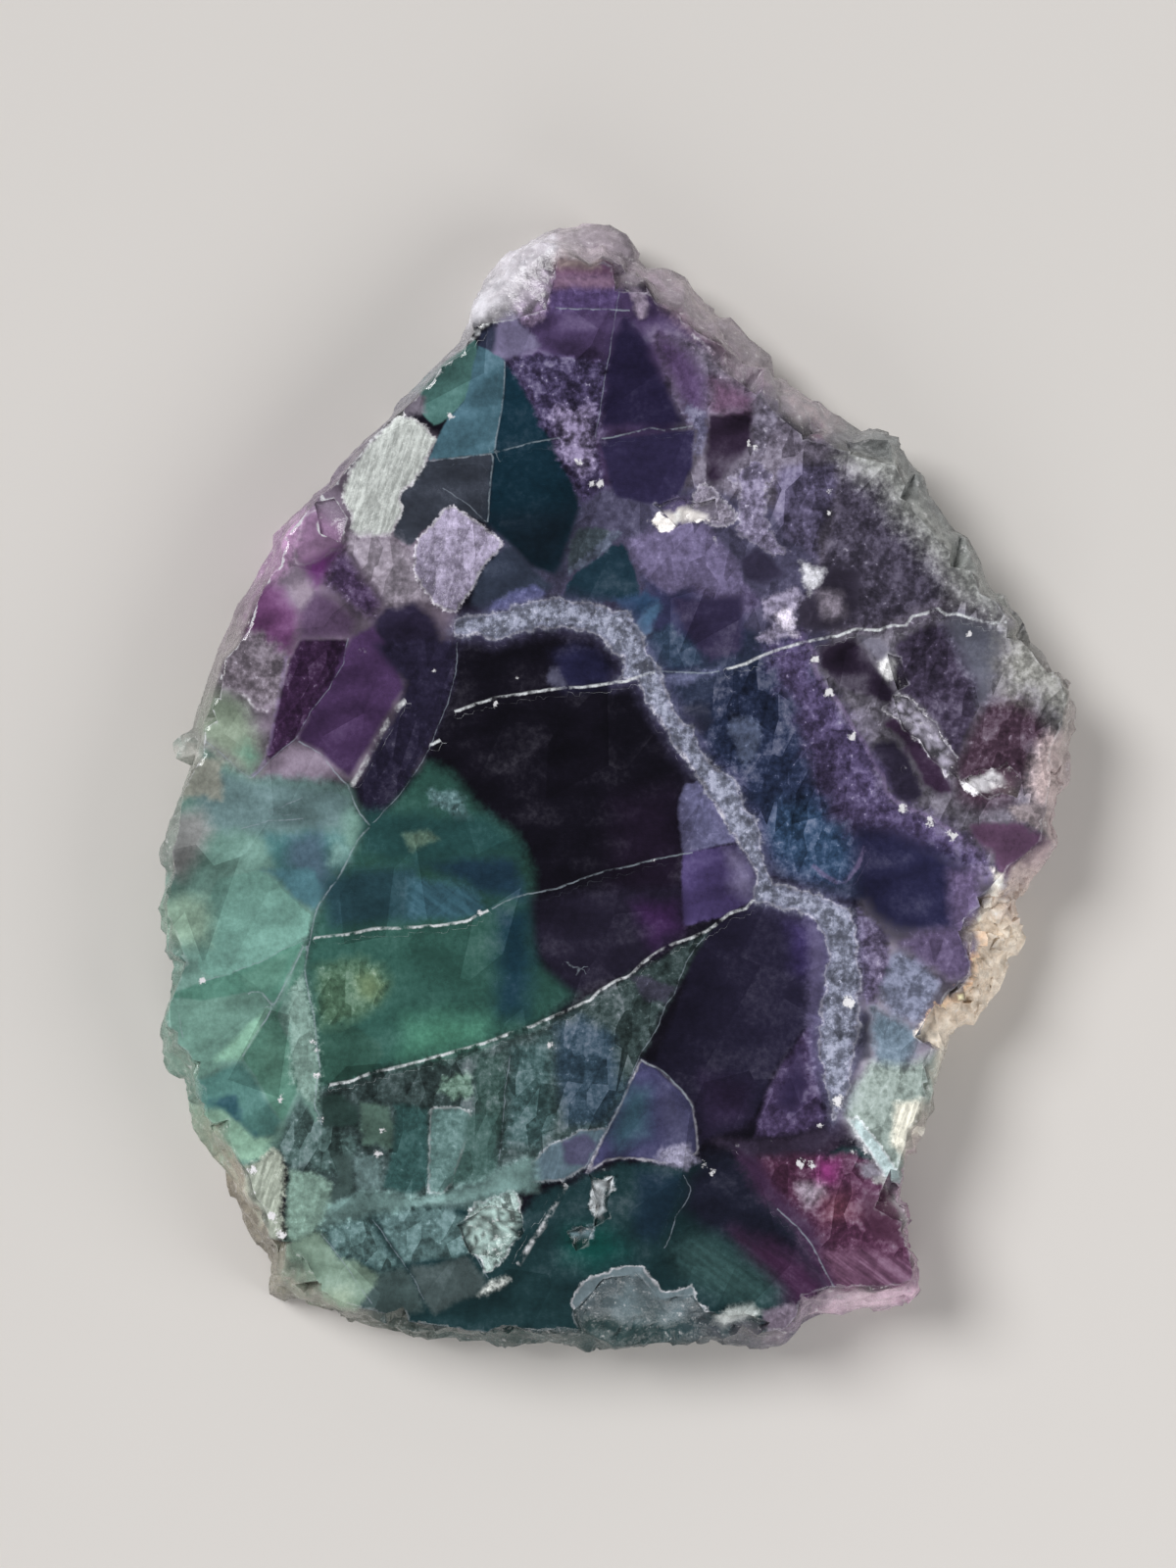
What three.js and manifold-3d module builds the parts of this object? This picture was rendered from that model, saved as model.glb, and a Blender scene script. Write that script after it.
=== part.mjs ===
// A polished slab of banded fluorite, lying on its sawn back with the polished face up.
// Millimetres, +Z up. The origin is the middle of the slab's box, on the sawn back.

import * as THREE from 'three';
import { mergeVertices } from 'three/addons/utils/BufferGeometryUtils.js';
import Module from 'manifold-3d';

// Driving dimensions
const slabThickness = 12;
const stationSpacing = 1.6;
const wallHeights = [0, 0.09, 0.25, 0.41, 0.57, 0.73, 0.88, 1];
const facetSize = 5.2;
const facetTilt = 0.8;
const ledgeSides = 6;
const ledgeTaper = 0.66;
const crustCrystals = 44;
const crustCrystalSize = [0.8, 1.5];
const edgeNicks = 38;
const edgeNickSize = [1.6, 3.6];

// The rim seen from above, anticlockwise from the right-hand point.
const rimOutline = [
  [47.0, 6.1], [46.7, 10.0], [43.7, 13.3], [40.4, 17.6], [38.1, 21.2], [35.8, 24.5],
  [32.1, 29.2], [31.8, 31.2], [29.1, 35.2], [26.8, 36.0], [25.3, 35.8], [19.9, 39.8],
  [15.9, 43.5], [10.9, 48.4], [7.3, 51.7], [3.3, 53.4], [1.1, 54.1], [0.7, 55.4],
  [-1.3, 56.7], [-4.2, 57.5], [-7.2, 57.0], [-8.9, 56.1], [-11.6, 53.7], [-13.5, 51.4],
  [-14.4, 49.8], [-14.9, 47.4], [-16.0, 45.1], [-20.2, 41.1], [-28.8, 31.8], [-31.5, 29.0],
  [-35.4, 25.5], [-35.9, 23.2], [-38.8, 18.2], [-40.7, 14.3], [-41.6, 13.0], [-43.7, 5.4],
  [-43.9, 1.4], [-45.1, -2.9], [-46.7, -7.5], [-46.4, -9.5], [-46.9, -12.8], [-46.4, -17.6],
  [-45.2, -19.1], [-46.4, -24.3], [-46.5, -27.9], [-44.7, -30.2], [-43.4, -35.9],
  [-41.2, -39.5], [-37.8, -46.2], [-35.9, -49.5], [-35.5, -53.0], [-30.0, -54.8],
  [-22.0, -56.8], [-12.0, -58.0], [0.0, -58.5], [12.0, -58.2], [18.0, -57.6], [20.2, -55.5],
  [26.4, -54.3], [30.3, -53.8], [31.3, -52.6], [31.2, -50.0], [30.1, -47.2], [30.3, -45.0],
  [29.2, -42.8], [29.5, -41.1], [30.6, -37.7], [31.8, -36.3], [32.9, -30.4], [33.8, -25.8],
  [36.8, -24.9], [40.1, -21.8], [40.8, -19.1], [42.6, -15.5], [42.2, -12.8], [43.1, -10.5],
  [44.7, -6.2], [44.7, -4.2], [46.2, -0.2], [46.1, 3.1],
];

// How the wall runs from the back to the polished face, by direction from the middle.
// face and back: how far the wall leans in at the top and at the bottom.
// belly: the height at which it reaches the rim, as a share of the thickness.
// rough: how deep the broken facets are.
const wallZones = [
  { angle: -180, face: 1.4, belly: 0.30, back: 1.0, rough: 0.50 },
  { angle: -164, face: 1.2, belly: 0.40, back: 1.2, rough: 0.85 },
  { angle: -150, face: 1.8, belly: 0.30, back: 0.9, rough: 0.85 },
  { angle: -138, face: 3.6, belly: 0.14, back: 0.4, rough: 0.80 },
  { angle: -124, face: 3.4, belly: 0.16, back: 0.5, rough: 0.80 },
  { angle: -110, face: 2.6, belly: 0.30, back: 0.9, rough: 0.70 },
  { angle: -90, face: 2.2, belly: 0.35, back: 1.2, rough: 0.70 },
  { angle: -74, face: 2.6, belly: 0.35, back: 1.2, rough: 0.70 },
  { angle: -67, face: 3.4, belly: 0.28, back: 0.8, rough: 0.70 },
  { angle: -60, face: 3.0, belly: 0.30, back: 1.6, rough: 0.70 },
  { angle: -54, face: 1.8, belly: 0.72, back: 6.0, rough: 0.80 },
  { angle: -40, face: 1.4, belly: 0.76, back: 6.5, rough: 0.80 },
  { angle: -32, face: 4.4, belly: 0.50, back: 3.4, rough: 0.90 },
  { angle: -22, face: 6.2, belly: 0.42, back: 3.0, rough: 0.90 },
  { angle: -14, face: 4.6, belly: 0.50, back: 3.6, rough: 0.90 },
  { angle: -8, face: 1.5, belly: 0.74, back: 5.6, rough: 0.80 },
  { angle: 20, face: 1.5, belly: 0.74, back: 5.8, rough: 0.80 },
  { angle: 44, face: 2.1, belly: 0.70, back: 5.0, rough: 0.85 },
  { angle: 56, face: 3.4, belly: 0.50, back: 3.0, rough: 1.00 },
  { angle: 72, face: 4.2, belly: 0.42, back: 2.2, rough: 1.00 },
  { angle: 86, face: 3.6, belly: 0.42, back: 1.6, rough: 0.90 },
  { angle: 93, face: 4.4, belly: 0.34, back: 1.2, rough: 0.80 },
  { angle: 100, face: 2.8, belly: 0.30, back: 1.0, rough: 0.80 },
  { angle: 108, face: 1.6, belly: 0.22, back: 0.7, rough: 0.50 },
  { angle: 130, face: 1.3, belly: 0.14, back: 0.4, rough: 0.35 },
  { angle: 150, face: 2.5, belly: 0.12, back: 0.4, rough: 0.35 },
  { angle: 172, face: 2.6, belly: 0.18, back: 0.6, rough: 0.40 },
  { angle: 180, face: 1.4, belly: 0.30, back: 1.0, rough: 0.50 },
];

// Places where the polished face has flaked away or has an open pit.
// edge: corners as x, y and depth below the face; floor: the depth in the middle.
const faceChips = [
  {
    // broken shoulder at the top
    floor: 2.2,
    edge: [
      [-6.0, 51.2, 0.5], [-5.5, 54.0, 0.9], [-5.8, 58.4, 3.2], [-9.4, 58.2, 4.4],
      [-13.2, 54.6, 5.0], [-16.6, 50.0, 4.6], [-16.2, 46.6, 2.6], [-13.6, 45.9, 0.8],
      [-9.8, 46.5, 0.5], [-7.0, 47.4, 0.4],
    ],
  },
  {
    // shell-shaped flake on the bottom edge
    floor: 1.1,
    edge: [
      [-4.2, -53.2, 0.6], [-1.2, -50.0, 0.2], [2.2, -49.5, 0.2], [4.6, -52.0, 0.3],
      [7.8, -51.6, 0.3], [9.0, -53.4, 0.4], [12.9, -53.4, 0.3], [15.6, -54.4, 0.5],
      [12.0, -58.6, 2.6], [4.0, -59.4, 3.4], [-2.6, -59.2, 2.8],
    ],
  },
  {
    // bite in the lower left corner
    floor: 1.3,
    edge: [
      [-31.5, -47.6, 0.3], [-29.6, -50.6, 0.3], [-31.4, -56.8, 3.0], [-37.8, -55.0, 3.6],
      [-37.6, -49.6, 2.8], [-34.2, -46.0, 0.9],
    ],
  },
  {
    // long druse pit near the right edge
    floor: 1.0,
    edge: [
      [27.9, 8.6, 0.2], [29.4, 8.4, 0.3], [30.8, 6.8, 0.4], [32.2, 5.8, 0.3],
      [33.0, 3.9, 0.4], [34.3, 2.4, 0.2], [34.6, 0.2, 0.3], [33.2, 1.2, 0.3],
      [31.8, 2.2, 0.4], [30.6, 4.2, 0.3], [29.0, 5.2, 0.4], [28.4, 6.9, 0.3],
    ],
  },
  {
    // narrow pit above it
    floor: 0.8,
    edge: [
      [27.4, 12.8, 0.2], [28.7, 12.4, 0.3], [29.0, 11.0, 0.3], [29.5, 9.7, 0.4],
      [28.4, 9.1, 0.3], [27.9, 10.6, 0.2],
    ],
  },
  {
    // cross pit by the right edge
    floor: 0.9,
    edge: [
      [35.1, 0.1, 0.2], [36.6, 1.2, 0.3], [38.4, 1.1, 0.4], [39.4, 1.9, 0.2],
      [41.0, 0.0, 0.3], [40.4, -1.7, 0.4], [38.8, -1.1, 0.3], [37.4, -1.7, 0.3],
    ],
  },
  {
    // pit at the end of the pale vein
    floor: 0.9,
    edge: [
      [-15.9, -44.6, 0.4], [-12.6, -42.7, 0.3], [-9.4, -43.4, 0.3], [-9.2, -45.4, 0.4],
      [-11.8, -47.9, 0.4], [-14.6, -47.4, 0.3],
    ],
  },
  {
    // small pit beside the lower crack
    floor: 0.8,
    edge: [
      [-2.6, -39.5, 0.2], [-0.9, -40.3, 0.3], [-0.1, -39.7, 0.2], [-0.8, -42.4, 0.3],
      [-0.5, -43.8, 0.4], [-2.1, -44.8, 0.3], [-1.9, -42.2, 0.2],
    ],
  },
  {
    // second pit beside the lower crack
    floor: 0.7,
    edge: [
      [-4.8, -45.3, 0.2], [-3.4, -44.7, 0.3], [-2.3, -45.2, 0.2], [-2.8, -46.4, 0.3],
      [-3.9, -47.2, 0.3],
    ],
  },
  {
    // nick where the pale flakes meet the left edge
    floor: 0.9,
    edge: [
      [-30.2, 28.0, 0.4], [-28.2, 28.4, 0.3], [-26.9, 26.4, 0.3], [-27.6, 24.0, 0.3],
      [-29.6, 24.9, 0.3],
    ],
  },
  {
    // pit in the long vein
    floor: 0.8,
    edge: [
      [3.9, 27.8, 0.2], [6.4, 28.5, 0.3], [8.2, 27.9, 0.3], [10.1, 28.4, 0.2],
      [10.5, 26.1, 0.4], [8.4, 26.4, 0.3], [6.2, 25.5, 0.3], [5.2, 26.6, 0.2],
    ],
  },
];

// Ledges where the upper part of the rim has split off along a cleavage plane.
// at: the middle of the ledge's inner foot; length runs along the rim, turned from +X in degrees.
// tip: how far the ledge slopes down away from the face, in degrees.
const rimLedges = [
  { at: [-2.0, 53.8, 9.6], length: 9.5, reach: 7, turn: -12, tip: 10 },
  { at: [7.4, 49.4, 9.3], length: 12.5, reach: 8, turn: -44, tip: 12 },
  { at: [17.8, 40.0, 8.2], length: 8.5, reach: 7, turn: -40, tip: 9 },
  { at: [30.2, 32.2, 9.6], length: 6.5, reach: 6, turn: -52, tip: 14 },
  { at: [41.6, 12.6, 8.9], length: 7.5, reach: 6, turn: -54, tip: 8 },
  { at: [44.0, -3.4, 9.4], length: 6.0, reach: 6, turn: -98, tip: 10 },
  { at: [25.4, -53.6, 7.2], length: 13.0, reach: 7, turn: 200, tip: 6 },
  { at: [-36.2, -44.6, 7.4], length: 9.0, reach: 7, turn: 118, tip: 9 },
  { at: [-41.6, -34.0, 8.8], length: 7.0, reach: 7, turn: 106, tip: 12 },
  { at: [-44.9, -15.4, 9.6], length: 6.5, reach: 6, turn: 88, tip: 11 },
  { at: [-19.6, -54.2, 8.4], length: 10.0, reach: 7, turn: 169, tip: 9 },
];

// Knobs that stand out of the wall: middle, half-sizes, turn about the vertical in degrees,
// and how finely the knob is rounded.
const wallKnobs = [
  { at: [-2.2, 52.9, 5.0], size: [4.8, 4.2, 3.7], turn: 12, roundness: 1 },
  { at: [24.4, 32.8, 4.8], size: [3.8, 3.0, 3.4], turn: -35, roundness: 1 },
  { at: [27.4, -51.2, 3.4], size: [4.0, 3.2, 3.0], turn: 15, roundness: 1 },
  { at: [-43.6, -27.4, 4.2], size: [2.8, 3.4, 3.6], turn: 8, roundness: 1 },
  { at: [-43.0, 3.5, 7.0], size: [2.4, 1.7, 1.1], turn: 38, roundness: 0 },
];

const crustZone = { from: -33, to: -12, inner: 5.8, outer: 1.0 };

function seededRandom(seed) {
  let state = seed;
  return () => {
    state = (state * 1664525 + 1013904223) % 4294967296;
    return state / 4294967296;
  };
}

const random = seededRandom(7319);

function between([low, high], share) {
  return low + (high - low) * share;
}

// Points along the rim, no further apart than the station spacing.
function rimStations() {
  const stations = [];
  let arc = 0;
  rimOutline.forEach(([x, y], index) => {
    const [nextX, nextY] = rimOutline[(index + 1) % rimOutline.length];
    const length = Math.hypot(nextX - x, nextY - y);
    const steps = Math.ceil(length / stationSpacing);
    for (let step = 0; step < steps; step += 1) {
      const share = step / steps;
      stations.push({
        x: between([x, nextX], share),
        y: between([y, nextY], share),
        arc: arc + length * share,
      });
    }
    arc += length;
  });
  return { stations, perimeter: arc };
}

function zoneAt(x, y) {
  const angle = THREE.MathUtils.radToDeg(Math.atan2(y, x));
  const next = wallZones.findIndex((zone) => zone.angle >= angle);
  const low = wallZones[Math.max(next - 1, 0)];
  const high = wallZones[Math.max(next, 1)];
  const share = (angle - low.angle) / (high.angle - low.angle);
  const blend = (key) => between([low[key], high[key]], share);
  return { face: blend('face'), belly: blend('belly'), back: blend('back'), rough: blend('rough') };
}

// Cleavage facets of the wall: every spot lies on the tilted plane of the nearest facet.
function wallFacets(perimeter) {
  const columns = Math.round(perimeter / facetSize);
  const rows = Math.ceil(slabThickness / facetSize);
  const facets = [];
  for (let column = 0; column < columns; column += 1) {
    for (let row = 0; row < rows; row += 1) {
      facets.push({
        arc: ((column + random() * 0.9) * perimeter) / columns,
        height: ((row + random()) * slabThickness) / rows,
        depth: random(),
        lean: (random() - 0.5) * facetTilt,
        dip: (random() - 0.5) * facetTilt,
      });
    }
  }
  return facets;
}

function facetDepth(facets, perimeter, arc, height) {
  let nearest = Infinity;
  let depth = 0;
  for (const facet of facets) {
    let along = arc - facet.arc;
    along -= perimeter * Math.round(along / perimeter);
    const up = height - facet.height;
    const distance = along * along + up * up;
    if (distance < nearest) {
      nearest = distance;
      depth = facet.depth + along * facet.lean + up * facet.dip;
    }
  }
  return THREE.MathUtils.clamp(depth, 0, 1.4);
}

// The slab before it is chipped: rings of the same stations, one above the other.
function slabGeometry() {
  const { stations, perimeter } = rimStations();
  const facets = wallFacets(perimeter);
  const count = stations.length;
  const positions = [];
  for (const level of wallHeights) {
    for (const { x, y, arc } of stations) {
      const zone = zoneAt(x, y);
      const leanIn = level < zone.belly
        ? zone.back * (1 - level / zone.belly) ** 1.3
        : zone.face * ((level - zone.belly) / (1 - zone.belly)) ** 1.25;
      const inset = leanIn + zone.rough * facetDepth(facets, perimeter, arc, level * slabThickness);
      const scale = 1 - inset / Math.hypot(x, y);
      positions.push(x * scale, y * scale, level * slabThickness);
    }
  }
  const backMiddle = positions.length / 3;
  positions.push(0, 0, 0, 0, 0, slabThickness);
  const faceMiddle = backMiddle + 1;
  const topRing = (wallHeights.length - 1) * count;

  const triangles = [];
  for (let i = 0; i < count; i += 1) {
    const j = (i + 1) % count;
    for (let ring = 0; ring < topRing; ring += count) {
      triangles.push(ring + i, ring + j, ring + count + j);
      triangles.push(ring + i, ring + count + j, ring + count + i);
    }
    triangles.push(backMiddle, j, i);
    triangles.push(faceMiddle, topRing + i, topRing + j);
  }
  const geometry = new THREE.BufferGeometry();
  geometry.setAttribute('position', new THREE.Float32BufferAttribute(positions, 3));
  geometry.setIndex(triangles);
  return geometry;
}

// A cutter that opens the polished face down to the given depths.
function chipGeometry({ edge, floor }) {
  const above = slabThickness + 1;
  const middleX = edge.reduce((sum, corner) => sum + corner[0], 0) / edge.length;
  const middleY = edge.reduce((sum, corner) => sum + corner[1], 0) / edge.length;
  const positions = [middleX, middleY, slabThickness - floor, middleX, middleY, above];
  edge.forEach(([x, y, depth]) => positions.push(x, y, slabThickness - depth, x, y, above));
  const turn = THREE.ShapeUtils.area(edge.map(([x, y]) => new THREE.Vector2(x, y)));
  const triangles = [];
  edge.forEach((corner, i) => {
    const low = 2 + 2 * i;
    const nextLow = 2 + 2 * ((i + 1) % edge.length);
    const faces = [
      [0, nextLow, low], [1, low + 1, nextLow + 1],
      [low, nextLow, nextLow + 1], [low, nextLow + 1, low + 1],
    ];
    faces.forEach(([a, b, c]) => triangles.push(...(turn > 0 ? [a, b, c] : [a, c, b])));
  });
  const geometry = new THREE.BufferGeometry();
  geometry.setAttribute('position', new THREE.Float32BufferAttribute(positions, 3));
  geometry.setIndex(triangles);
  return geometry;
}

// A six-sided cutter with a flat side towards the middle, so that the ledge runs out at both ends.
function ledgeGeometry({ at, length, reach, turn, tip }) {
  const geometry = new THREE.CylinderGeometry(1, 1, slabThickness, ledgeSides);
  geometry.rotateY(Math.PI / ledgeSides);
  geometry.rotateX(Math.PI / 2);
  geometry.scale(length * ledgeTaper, reach / Math.cos(Math.PI / ledgeSides), 1);
  geometry.translate(0, reach, slabThickness / 2);
  geometry.rotateX(THREE.MathUtils.degToRad(-tip));
  geometry.rotateZ(THREE.MathUtils.degToRad(turn));
  return geometry.translate(...at);
}

function knobGeometry({ at, size, turn, roundness }) {
  const geometry = new THREE.IcosahedronGeometry(1, roundness);
  geometry.scale(...size);
  geometry.rotateZ(THREE.MathUtils.degToRad(turn));
  return geometry.translate(...at);
}

function turnAtRandom(geometry) {
  const turns = new THREE.Euler(random() * 6.3, random() * 6.3, random() * 6.3);
  return geometry.applyMatrix4(new THREE.Matrix4().makeRotationFromEuler(turns));
}

// The rim point and wall zone in a direction, found on the nearest station.
function rimAt(stations, angle) {
  const radians = THREE.MathUtils.degToRad(angle);
  const direction = new THREE.Vector2(Math.cos(radians), Math.sin(radians));
  let best = stations[0];
  let closest = -Infinity;
  for (const station of stations) {
    const across = station.x * direction.x + station.y * direction.y;
    const along = across / Math.hypot(station.x, station.y);
    if (along > closest) {
      closest = along;
      best = station;
    }
  }
  return { direction, radius: Math.hypot(best.x, best.y), zone: zoneAt(best.x, best.y) };
}

// Small tan crystals of the crust, half sunk in the sloping rim.
function crustGeometries(stations) {
  const crystals = [];
  for (let i = 0; i < crustCrystals; i += 1) {
    const angle = between([crustZone.from, crustZone.to], (i + random()) / crustCrystals);
    const { direction, radius, zone } = rimAt(stations, angle);
    const inset = between([crustZone.outer, crustZone.inner], random());
    const rise = Math.min(inset / zone.face, 1) ** 0.8;
    const size = between(crustCrystalSize, random());
    const height = slabThickness * between([zone.belly, 1], rise) - 0.4;
    const reach = radius - inset - 0.4;
    const crystal = i % 3 === 0
      ? new THREE.OctahedronGeometry(size * 0.8)
      : new THREE.BoxGeometry(size, size, size);
    turnAtRandom(crystal);
    const top = Math.min(height, slabThickness - size * 0.8);
    crystals.push(crystal.translate(direction.x * reach, direction.y * reach, top));
  }
  return crystals;
}

// Tilted blocks that knock small bites out of the edge between the polished face and the wall.
function nickGeometries(stations) {
  const nicks = [];
  for (let i = 0; i < edgeNicks; i += 1) {
    const angle = between([-180, 180], (i + 0.8 * random()) / edgeNicks);
    const { direction, radius, zone } = rimAt(stations, angle);
    const size = between(edgeNickSize, random()) * (0.4 + zone.rough);
    const nick = turnAtRandom(new THREE.BoxGeometry(size, size, size));
    const reach = radius - zone.face + size * 0.34;
    const level = slabThickness + size * 0.1;
    nicks.push(nick.translate(direction.x * reach, direction.y * reach, level));
  }
  return nicks;
}

const wasm = await Module();
wasm.setup();

function solidOf(geometry) {
  geometry.deleteAttribute('normal');
  geometry.deleteAttribute('uv');
  const merged = mergeVertices(geometry);
  return new wasm.Manifold(new wasm.Mesh({
    numProp: 3,
    vertProperties: new Float32Array(merged.attributes.position.array),
    triVerts: new Uint32Array(merged.index.array),
  }));
}

function fluoriteSolid() {
  const { stations } = rimStations();
  let solid = solidOf(slabGeometry());
  rimLedges.forEach((ledge) => {
    solid = solid.subtract(solidOf(ledgeGeometry(ledge)));
  });
  nickGeometries(stations).forEach((nick) => {
    solid = solid.subtract(solidOf(nick));
  });
  wallKnobs.forEach((knob) => {
    solid = solid.add(solidOf(knobGeometry(knob)));
  });
  faceChips.forEach((chip) => {
    solid = solid.subtract(solidOf(chipGeometry(chip)));
  });
  crustGeometries(stations).forEach((crystal) => {
    solid = solid.add(solidOf(crystal));
  });
  return solid;
}

function fluoriteSlab() {
  const { vertProperties, triVerts } = fluoriteSolid().getMesh();
  const geometry = new THREE.BufferGeometry();
  geometry.setAttribute('position', new THREE.BufferAttribute(vertProperties, 3));
  geometry.setIndex(new THREE.BufferAttribute(triVerts, 1));
  geometry.computeBoundingBox();
  const middle = geometry.boundingBox.getCenter(new THREE.Vector3());
  geometry.translate(-middle.x, -middle.y, 0);
  geometry.computeVertexNormals();
  const fluorite = new THREE.MeshStandardMaterial({
    color: 0x5b4a7e,
    roughness: 0.08,
    metalness: 0,
    flatShading: true,
  });
  const slab = new THREE.Mesh(geometry, fluorite);
  slab.name = 'fluorite_slab';
  return slab;
}

const model = new THREE.Group();
model.add(fluoriteSlab());

export default model;
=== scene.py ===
import math

import bmesh
import bpy
import numpy as np
from mathutils import Matrix, Vector, noise
from mathutils.geometry import delaunay_2d_cdt


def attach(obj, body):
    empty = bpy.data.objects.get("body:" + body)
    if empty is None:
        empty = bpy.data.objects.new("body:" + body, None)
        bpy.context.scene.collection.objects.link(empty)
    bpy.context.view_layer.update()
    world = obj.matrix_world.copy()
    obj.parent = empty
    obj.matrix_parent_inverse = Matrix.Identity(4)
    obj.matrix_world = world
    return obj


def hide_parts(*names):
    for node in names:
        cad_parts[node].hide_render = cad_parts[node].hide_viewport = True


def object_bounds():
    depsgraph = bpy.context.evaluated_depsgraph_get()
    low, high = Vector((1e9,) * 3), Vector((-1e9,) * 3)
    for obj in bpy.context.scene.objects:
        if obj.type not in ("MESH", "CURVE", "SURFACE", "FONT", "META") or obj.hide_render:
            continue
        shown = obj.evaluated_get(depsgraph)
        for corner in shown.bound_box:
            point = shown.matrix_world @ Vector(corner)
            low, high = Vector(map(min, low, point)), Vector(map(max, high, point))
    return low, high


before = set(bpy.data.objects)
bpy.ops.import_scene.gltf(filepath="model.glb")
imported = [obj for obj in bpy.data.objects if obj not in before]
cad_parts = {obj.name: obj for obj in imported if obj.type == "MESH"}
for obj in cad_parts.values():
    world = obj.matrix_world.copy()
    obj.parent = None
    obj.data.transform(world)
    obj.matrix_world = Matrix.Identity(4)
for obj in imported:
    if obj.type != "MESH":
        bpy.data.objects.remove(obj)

cadLow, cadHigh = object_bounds()
mm = 0.001
faceHeight = round(cadHigh.z / mm, 3)

drawing = {
    "zero": (-0.22, 0.58),  # where the drawing's zero lies on the slab
    "centre": (-2.7, -0.3),  # the drawing shrinks about this point
    "scale": 0.986,  # the drawing was made level with the middle of the thickness
}

# the stone's colours, painted in order
# soft: how wide an edge fades; ragged: how far it wanders; rim: a painted highlight, a light line along it;
# spread: how much the texture lightens and darkens it; milk: how cloudy the crystal is;
# fade: towards which side in degrees it gets lighter, and how much
zoneDefaults = {
    "texture": "cloud", "spread": 0.16, "milk": 0.5, "soft": 0.4, "ragged": 0.35, "rim": 0.0,
    "fade": (0, 0.0),
}
veinOutline = [
    (-16.8, 15.2), (-15.8, 14.6), (-14, 15), (-12, 14.4), (-10.4, 15), (-8, 15.7), (-5, 15.8), (-2, 15.2),
    (-0.8, 14), (0.8, 12.6), (0.9, 11.4), (0.3, 10.2), (2.4, 10.4), (3.4, 8), (4.4, 6.4), (5.6, 4.8),
    (6.4, 3.4), (7.6, 1.6), (9, 0), (10.4, -2.6), (11.4, -4.4), (12.4, -6), (13.6, -7.6), (14.6, -9.6),
    (14.2, -12.2), (17, -12.8), (19, -13.4), (20.8, -14.4), (21.6, -16), (21.9, -18), (21.4, -21),
    (21, -24), (21, -28), (21.6, -31), (22.4, -33.4), (22.2, -34.6), (22.8, -34), (23.2, -33),
    (23.8, -31), (24.2, -29), (24.6, -26), (24.8, -23), (25, -20), (24.8, -18), (24.6, -15), (24, -13),
    (22, -12), (19, -11.2), (16, -10.6), (15.6, -9.4), (15, -7.4), (14.8, -5.6), (14.4, -4), (13.2, -2.8),
    (12.8, -1.6), (12.4, 0), (10.6, 1), (9.4, 2), (8.4, 4), (8, 5.4), (6.6, 6), (5, 9.6), (4.6, 11.2),
    (3.4, 13), (2.6, 14.8), (1.5, 17), (-2, 18), (-6, 18.6), (-9, 18.2), (-11, 17.4), (-13, 17),
    (-16, 16.4)
]


def patch(name, colour, outline, **finish):
    return {**zoneDefaults, "name": name, "colour": colour, "outline": outline, **finish}


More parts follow.
